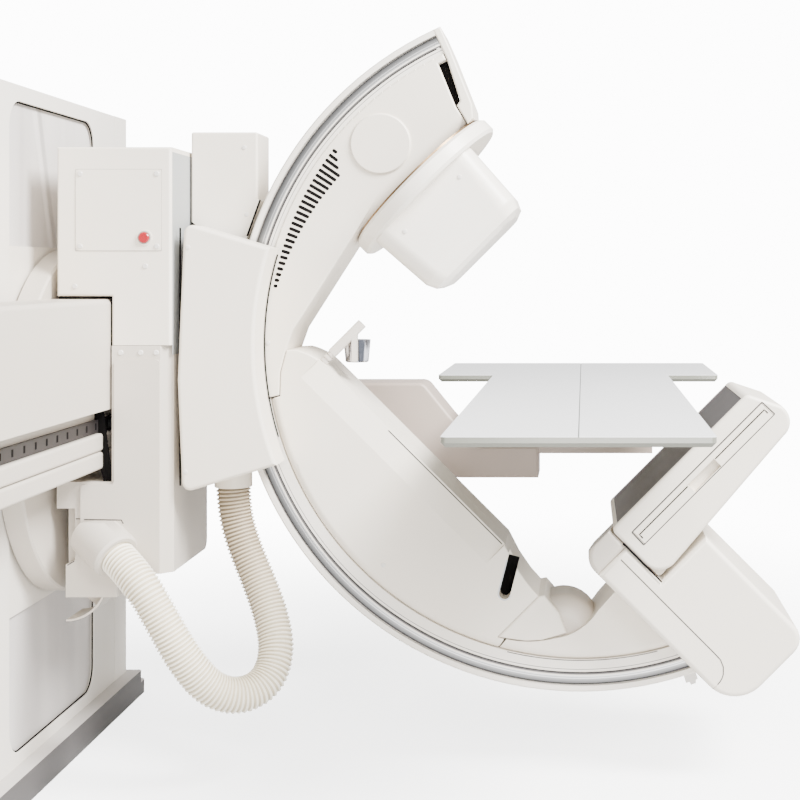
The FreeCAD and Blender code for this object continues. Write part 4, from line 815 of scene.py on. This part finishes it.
panel_line = [(0.4555, 1.3795), (0.4555, 1.5885), (0.6755, 1.5885), (0.6755, 1.3795),
              (0.4555, 1.3795)]
joint_lines("panel_joint", "carriage", ("carriage_upper_cover",), [panel_line], 0.0016, soft_seam)
joint_lines("collar_joint", "carriage", ("carriage_lower_cover",),
            [[(0.456, 0.6915), (0.575, 0.6895), (0.580, 0.680)],
             [(0.434, 0.572), (0.452, 0.583)]], 0.0028, seam_grey)
joint_lines("corner_joint", "c_arm", ("chord_cover_front",),
            [beam_line((0.392, -0.556), (0.392, -0.704))], 0.0010, soft_seam)
joint_lines("chord_edge_joint", "c_arm", ("chord_cover_front",),
            [beam_line((-0.20, -0.5255), (0.228, -0.5255))], 0.0030, seam_grey)
print("carriage and arm joints laid")

# %% [markdown]
# Where an opening lies in shade, a dark plate behind it stands for that shade: painted shade. One
# helper makes a thin plate of any outline, with its edges broken. The first two are painted shade
# behind the cooling slots and the cable slot of the end plate.

# %% Dark plates of painted shade behind openings


def plate(bm, outline, y0, y1, edge=0.0006):
    """Adds a flat plate with the outline in X and Z, from y0 to y1, with its edges broken."""
    part = bmesh.new()
    ring = [bmesh.ops.create_vert(part, co=(x, y0, z))["vert"][0] for x, z in outline]
    face = bmesh.ops.contextual_create(part, geom=ring)["faces"]
    top = bmesh.ops.extrude_face_region(part, geom=face)["geom"]
    bmesh.ops.translate(part, vec=(0, y1 - y0, 0),
                        verts=[v for v in top if isinstance(v, bmesh.types.BMVert)])
    if edge:
        bmesh.ops.bevel(part, geom=list(part.edges), offset=edge, offset_type="OFFSET",
                        segments=2, profile=0.5, affect="EDGES", material=-1)
    bmesh.ops.recalc_face_normals(part, faces=part.faces)
    mesh = bpy.data.meshes.new("part")
    part.to_mesh(mesh)
    part.free()
    bm.from_mesh(mesh)
    bpy.data.meshes.remove(mesh)


def plate_piece(name, body, material, outline, y0, y1, edge=0.0006):
    """A shown piece of one flat plate."""
    bm = bmesh.new()
    plate(bm, outline, y0, y1, edge)
    finish_object(bm, name, body, material)


def arc_line(radius, first, last, steps):
    """Points of X and Z on a circle round the isocentre."""
    places = [polar(radius, first + (last - first) * i / steps) for i in range(steps + 1)]
    return [(p.x, p.z) for p in places]


vent_area = (arc_line(0.838, 171.5, 139.5, 24) + arc_line(0.758, 139.5, 156.0, 12)
             + arc_line(0.800, 160.0, 171.5, 8))
plate_piece("vent_slot_shade", "c_arm", near_black_and_painted_shade, vent_area, -0.1135, -0.1125, 0)
cable_slot = arc_line(0.836, 115.2, 117.6, 2) + arc_line(0.716, 117.9, 116.6, 2)
plate_piece("cable_slot_shade", "c_arm", near_black_and_painted_shade, cable_slot, -0.090, -0.088)
print("linings laid")

# %% [markdown]
# The handle is a slot in the large cover that is open at its upper end. A dark oblong behind it is
# painted shade of its inside, and a thin metal rim follows the round end and one side.

# %% Handle slot

HANDLE = (in_beam(0.3246, -0.6116), in_beam(0.2620, -0.5050))


def slot_outline(radius, cut=0.0):
    """An oblong round its lower end; cut shortens the open upper end."""
    low, high = HANDLE
    way = (high - low).normalized()
    side = Vector((way.z, 0, -way.x))
    turn = [math.radians(180 * i / 12) for i in range(13)]
    points = [low + side * radius * math.cos(t) - way * radius * math.sin(t) for t in turn]
    end = high - way * cut
    return [(p.x, p.z) for p in points + [end - side * radius, end + side * radius]]


plate_piece("handle_slot_shade", "c_arm", near_black_and_painted_shade, slot_outline(0.0150, 0.030), -0.0645, -0.0625)
rim_line = slot_outline(0.0165, 0.036)
joint_lines("handle_rim", "c_arm", ("chord_cover_front",), [rim_line[:14]], 0.0035, inner_metal)
print("handle slot laid")

# %% [markdown]
# The carriage wipes along the beam with a dark lip that follows the beam's outline. Along the rack
# below, one small dark block on each tooth space is painted shade of that space.

# %% Wiper between carriage and beam, painted shade in the tooth spaces of the rack

plate_piece("beam_wiper", "carriage", near_black_and_painted_shade,
            [(0.409, 1.2525), (0.5412, 1.2525), (0.5412, 0.9725), (0.5236, 0.9725),
             (0.5236, 0.7875), (0.5476, 0.7875), (0.5476, 1.2626), (0.409, 1.2626)],
            -0.2405, -0.2385)
TOOTH_COUNT, TOOTH_START, TOOTH_PITCH = 30, -1.030, 0.070
TOOTH_HALF_WIDTH, TOOTH_HALF_HEIGHT, TOOTH_PROUD = 0.0055, 0.0083, 0.0009
RACK_FACE, RACK_MIDDLE = 0.5094, 0.9290
bm = bmesh.new()
for count in range(TOOTH_COUNT):
    y = TOOTH_START + TOOTH_PITCH * count
    ring = [bmesh.ops.create_vert(bm, co=(RACK_FACE, y + TOOTH_HALF_WIDTH * dy,
                                          RACK_MIDDLE + TOOTH_HALF_HEIGHT * dz))["vert"][0]
            for dy, dz in ((-1, -1), (1, -1), (1, 1), (-1, 1))]
    face = bmesh.ops.contextual_create(bm, geom=ring)["faces"]
    top = bmesh.ops.extrude_face_region(bm, geom=face)["geom"]
    bmesh.ops.translate(bm, vec=(TOOTH_PROUD, 0, 0),
                        verts=[v for v in top if isinstance(v, bmesh.types.BMVert)])
bmesh.ops.recalc_face_normals(bm, faces=bm.faces)
finish_object(bm, "rack_tooth_shade", BODY_OF["drive_rack"], near_black_and_painted_shade)
print("tooth spaces:", TOOTH_COUNT)

# %% [markdown]
# Where two covers stand apart, a dark plate in the gap closes the view as painted shade of the gap.
# The tower beside the arm ends in a light band with such a strip of painted shade along it.

# %% Painted shade in the gap under the detector box and beside the holder, band on the tower

plate_piece("box_gap_shade", "c_arm", near_black_and_painted_shade,
            beam_line((0.436, -0.2846), (0.577, -0.2846), (0.577, -0.2803), (0.436, -0.2803)),
            -0.2336, -0.2310, 0)
plate_piece("pivot_gap_shade", "carriage", near_black_and_painted_shade,
            [(0.7094, 0.770), (0.7136, 0.770), (0.7136, 1.440), (0.7094, 1.440)],
            -0.206, -0.204, 0)
plate_piece("tower_plate", "holder", cover_white,
            [(0.8465, 1.424), (0.8540, 1.423), (0.8888, 1.518), (0.8813, 1.520)],
            -0.0775, -0.0749)
plate_piece("tower_edge_shade", "holder", near_black_and_painted_shade,
            [(0.8540, 1.421), (0.8588, 1.421), (0.8938, 1.518), (0.8888, 1.519)],
            -0.0772, -0.0749)
print("gaps closed")

# %% [markdown]
# The blinds are drawn out and rolled in as the lift moves. A second sheet behind each one rides on
# the lift and slides out from behind the fixed one, so that the window stays closed at both ends of
# the travel.

# %% Blind sheets that follow the lift

SHEET_BACK, SHEET_FRONT = 0.3040, 0.3080
for name, low, high in (("lower_blind_sheet", 0.235, 0.489), ("upper_blind_sheet", 1.361, 1.530)):
    plate_piece(name, BODY_OF["lift_saddle"], blind_grey,
                [(SHEET_BACK, low), (SHEET_FRONT, low), (SHEET_FRONT, high), (SHEET_BACK, high)],
                -0.378, 0.292, 0)
print("blind sheets ready")

# %% [markdown]
# Along the holder's curved edge a thin dark strip is painted shadow, where the holder shades the
# arm. Its section is a small rectangle that is spun round the isocentre. A grey strip of painted
# shade covers the carriage's side towards the holder, and one more dark line marks the arm's lower
# rim.

# %% Painted shadow along the holder's curved edge, painted shade on the carriage's side, line on the lower rim

bm = bmesh.new()
section = [bmesh.ops.create_vert(bm, co=polar(radius, 163.5, y))["vert"][0]
           for radius, y in ((0.8370, -0.1245), (0.8402, -0.1245),
                             (0.8402, -0.1222), (0.8370, -0.1222))]
face = bmesh.ops.contextual_create(bm, geom=section)["faces"]
bmesh.ops.spin(bm, geom=face, cent=ISO, axis=(0, -1, 0), angle=math.radians(33.5), steps=44)
bmesh.ops.recalc_face_normals(bm, faces=bm.faces)
finish_object(bm, "holder_edge_shadow", "holder", near_black_and_painted_shade)
# Painted shade: a grey strip on the carriage's side, where the holder shades it.
plate_piece("carriage_side_shade", "carriage", side_painted_shade,
            [(0.6998, 1.112), (0.7010, 1.112), (0.7010, 1.634), (0.6998, 1.634)],
            -0.238, -0.030, 0)
joint_lines("lower_rim_joint", "c_arm", ("c_beam",), [arc_line(0.8402, 256.5, 284.0, 40)], 0.0022,
            seam_grey)
print("seal and strip laid")

# %% [markdown]
# The cooling slots are cut in the solid. Each one gets a thin dark oblong that is a little wider
# than the slot: painted shade that makes its mouth look soft and dark. They follow the rule of the
# slots: a row of angles, with a length that grows and ends in a short taper.

# %% Painted shade at the mouths of the cooling slots


def oblong(low, high, radius, steps=6):
    """Outline of a slot with round ends between two points of X and Z."""
    way = (high - low).normalized()
    side = Vector((way.z, 0, -way.x))
    turn = [math.radians(180 * i / steps) for i in range(steps + 1)]
    start = [low + side * radius * math.cos(t) - way * radius * math.sin(t) for t in turn]
    end = [high - side * radius * math.cos(t) + way * radius * math.sin(t) for t in turn]
    return [(p.x, p.z) for p in start + end]


VENT_COUNT, VENT_FIRST, VENT_LAST, VENT_HALF = 26, 169.2, 141.9, 0.0044
VENT_END, COVER_RADIUS = 0.0038, 0.854
bm = bmesh.new()
for count in range(VENT_COUNT):
    share = count / (VENT_COUNT - 1)
    angle = VENT_FIRST + (VENT_LAST - VENT_FIRST) * share
    outer = COVER_RADIUS - 0.024 + 0.007 * share
    long = 0.010 + 0.0021 * count
    if VENT_COUNT - 1 - count < 3:
        long = 0.014 * (VENT_COUNT - count)
    ends = polar(outer - long + VENT_END, angle), polar(outer - VENT_END, angle)
    plate(bm, oblong(*ends, VENT_HALF), -0.1204, -0.1199, 0)
finish_object(bm, "vent_mouth_shade", "c_arm", near_black_and_painted_shade)
print("slot mouths:", VENT_COUNT)

# %% [markdown]
# Small white caps hide the screws of the covers. Each is a short cone with its edges beveled. The
# red stop button sits in a ring, which is one more strip laid on the panel round it.

# %% Covered screws, and the ring round the stop button


def buttons(name, body, places, radius=0.0065):
    """Small round screw covers that stand a little proud of the front."""
    bm = bmesh.new()
    for x, y, z in places:
        disc = bmesh.ops.create_cone(bm, cap_ends=True, segments=28, radius1=radius,
                                     radius2=radius * 0.86, depth=0.0022)["verts"]
        turn = Matrix.Translation((x, y, z)) @ Matrix.Rotation(math.radians(90), 4, "X")
        bmesh.ops.transform(bm, matrix=turn, verts=disc)
    bmesh.ops.bevel(bm, geom=list(bm.edges), offset=0.0003, offset_type="OFFSET", segments=2,
                    profile=0.5, affect="EDGES", material=-1)
    bmesh.ops.recalc_face_normals(bm, faces=bm.faces)
    finish_object(bm, name, body, screw_white)


buttons("arm_screw_covers", "c_arm", [(0.922, -0.1205, 1.136), (1.2275, -0.1205, 0.547),
                                      (1.370, -0.1155, 1.922)])
buttons("holder_screw_covers", "holder", [(0.742, -0.2455, 1.388), (0.735, -0.2455, 0.811),
                                          (0.848, -0.0755, 1.659), (0.855, -0.0755, 1.479)])
buttons("hood_screw_covers", "collimator", [(1.291, -0.1745, 1.431), (1.434, -0.1745, 1.574)])
BUTTON_X, BUTTON_Z, RING_RADIUS = 0.632, 1.413, 0.0160
ring = [(BUTTON_X + RING_RADIUS * math.cos(math.radians(a)),
         BUTTON_Z + RING_RADIUS * math.sin(math.radians(a))) for a in range(0, 361, 12)]
joint_lines("button_ring", "carriage", ("access_panel",), [ring], 0.0020, soft_seam)
print("screw covers and button ring laid")

# %% [markdown]
# A dark cord round the edge of the stand's window is painted shadow of that edge. It is a thin cord
# swept along a rounded rectangle: rings of vertices that are bridged one after the other.

# %% Painted shadow round the window's edge


def closed_tube(points, radius, around=8):
    """A closed loop of tube along points that lie in a plane of constant X."""
    bm = bmesh.new()
    first = before = None
    for index, point in enumerate(points):
        ahead = (points[(index + 1) % len(points)] - points[index - 1]).normalized()
        out = Vector((1, 0, 0))
        turn = Matrix((out, ahead.cross(out), ahead)).transposed().to_4x4()
        ring = bmesh.ops.create_circle(bm, segments=around, radius=radius)["verts"]
        bmesh.ops.transform(bm, matrix=Matrix.Translation(point) @ turn, verts=ring)
        edges = list({edge for vert in ring for edge in vert.link_edges})
        if before:
            bmesh.ops.bridge_loops(bm, edges=before + edges)
        else:
            first = edges
        before = edges
    bmesh.ops.bridge_loops(bm, edges=before + first)
    bmesh.ops.recalc_face_normals(bm, faces=bm.faces)
    return bm


WINDOW_Y, WINDOW_Z, WINDOW_BEND = (-0.366, 0.280), (0.110, 1.757), 0.070


def window_loop(x, inset):
    """The window's rounded outline at X = x, drawn in by the inset."""
    y0, y1, z0, z1 = (WINDOW_Y[0] + inset, WINDOW_Y[1] - inset,
                      WINDOW_Z[0] + inset, WINDOW_Z[1] - inset)
    bend = WINDOW_BEND - inset
    loop = []
    for cy, cz, start in ((y1, z1, 0), (y0, z1, 90), (y0, z0, 180), (y1, z0, 270)):
        sy, sz = (1 if start in (0, 270) else -1), (1 if start in (0, 90) else -1)
        for i in range(9):
            t = math.radians(start + 90 * i / 8)
            loop.append(Vector((x, cy - sy * bend + bend * math.cos(t),
                                cz - sz * bend + bend * math.sin(t))))
    return loop


WINDOW_SHADOW_X, WINDOW_SHADOW_RADIUS = 0.3245, 0.0022
finish_object(closed_tube(window_loop(WINDOW_SHADOW_X, WINDOW_SHADOW_RADIUS), WINDOW_SHADOW_RADIUS), "window_edge_shadow", "stand",
              near_black_and_painted_shade, sharp=60)
print("seal laid")

# %% [markdown]
# Last come the room and the light: a plain pale floor that meets a white background, big soft
# lamps from above and from the front, and a camera at the height and distance of the photograph.

# %% Floor and light


def soft_lamp(name, place, aim, size, power, colour=(1, 1, 1)):
    lamp = bpy.data.lights.new(name, "AREA")
    lamp.shape, lamp.size, lamp.size_y = "RECTANGLE", size[0], size[1]
    lamp.energy, lamp.color = power, colour
    holder = bpy.data.objects.new(name, lamp)
    holder.location = place
    holder.rotation_mode = "QUATERNION"
    holder.rotation_quaternion = (Vector(aim) - Vector(place)).to_track_quat("-Z", "Y")
    bpy.context.scene.collection.objects.link(holder)


FLOOR_COVER = 0.72


def pale_floor(centre, solid, clear):
    """A round pale floor that thins out to nothing, so that no horizon line shows."""
    bm = bmesh.new()
    disc = bmesh.ops.create_circle(bm, cap_ends=True, segments=96, radius=clear)
    bmesh.ops.translate(bm, verts=disc["verts"], vec=(centre[0], centre[1], 0))
    mesh = bpy.data.meshes.new("floor")
    bm.to_mesh(mesh)
    bm.free()
    floor = bpy.data.objects.new("floor", mesh)
    bpy.context.scene.collection.objects.link(floor)
    finish, shader, point = new_finish("floor_pale", (0.86, 0.86, 0.86), 0.6)
    link(noise(point, 0.6, 2.0).between(0.2, 0.8).blend((0.85, 0.85, 0.85, 1),
                                                        (0.87, 0.87, 0.87, 1)),
         shader, "Base Color")
    flat = point.make("ShaderNodeVectorMath", {"operation": "SUBTRACT"},
                      {0: point, 1: (centre[0], centre[1], 0)})
    away = point.make("ShaderNodeVectorMath", {"operation": "LENGTH"}, {0: flat}, 1)
    link(FLOOR_COVER - FLOOR_COVER * away.between(solid, clear), shader, "Alpha")
    mesh.materials.append(finish)
    return floor


floor = pale_floor((0.9, 0.3), 0.6, 4.2)
print("floor ready")

# %% [markdown]
# The room is white all round. What the camera sees of it is brighter than what it sends onto the
# object, as in a studio with a lit backdrop, so that the object keeps its soft modelling.

# %% White room and lamps

world = bpy.data.worlds.new("studio")
bpy.context.scene.world = world
world.use_nodes = True
room = world.node_tree.nodes["Background"]
room.inputs[0].default_value = (1.0, 1.0, 1.0, 1)
BACKDROP, ROOM_LIGHT = 12.0, 0.78
seen = Wire(world.node_tree, None).make("ShaderNodeLightPath")
seen.tree.links.new((seen * BACKDROP + ROOM_LIGHT).socket, room.inputs[1])
soft_lamp("key", (5.2, -2.4, 5.4), (1.9, 0.0, 1.3), (2.4, 2.4), 2000)
soft_lamp("low", (2.5, -5.6, 0.6), (1.7, 0, 0.8), (2.4, 1.0), 170, (1.0, 0.985, 0.96))
soft_lamp("front", (3.0, -5.6, 4.4), (2.0, 0, 1.5), (2.4, 2.0), 360, (1.0, 0.985, 0.96))
print("room and lamps ready")

# %% [markdown]
# The photograph is taken square on, from about four metres, and cropped off its middle. The camera
# therefore looks straight along Y, and its shift does what the crop did.

# %% Camera

LENS, SHIFT_X, SHIFT_Y = 67.5, -0.23, -0.1625
camera_data = bpy.data.cameras.new("camera")
camera_data.sensor_width = 36.0
camera_data.lens = LENS
camera = bpy.data.objects.new("camera", camera_data)
bpy.context.scene.collection.objects.link(camera)
bpy.context.scene.camera = camera
camera.location = (1.76, -4.10, 1.33)
camera_data.shift_x, camera_data.shift_y = SHIFT_X, SHIFT_Y
camera.rotation_euler = (math.radians(90), 0, 0)
print("camera at", tuple(camera.location))
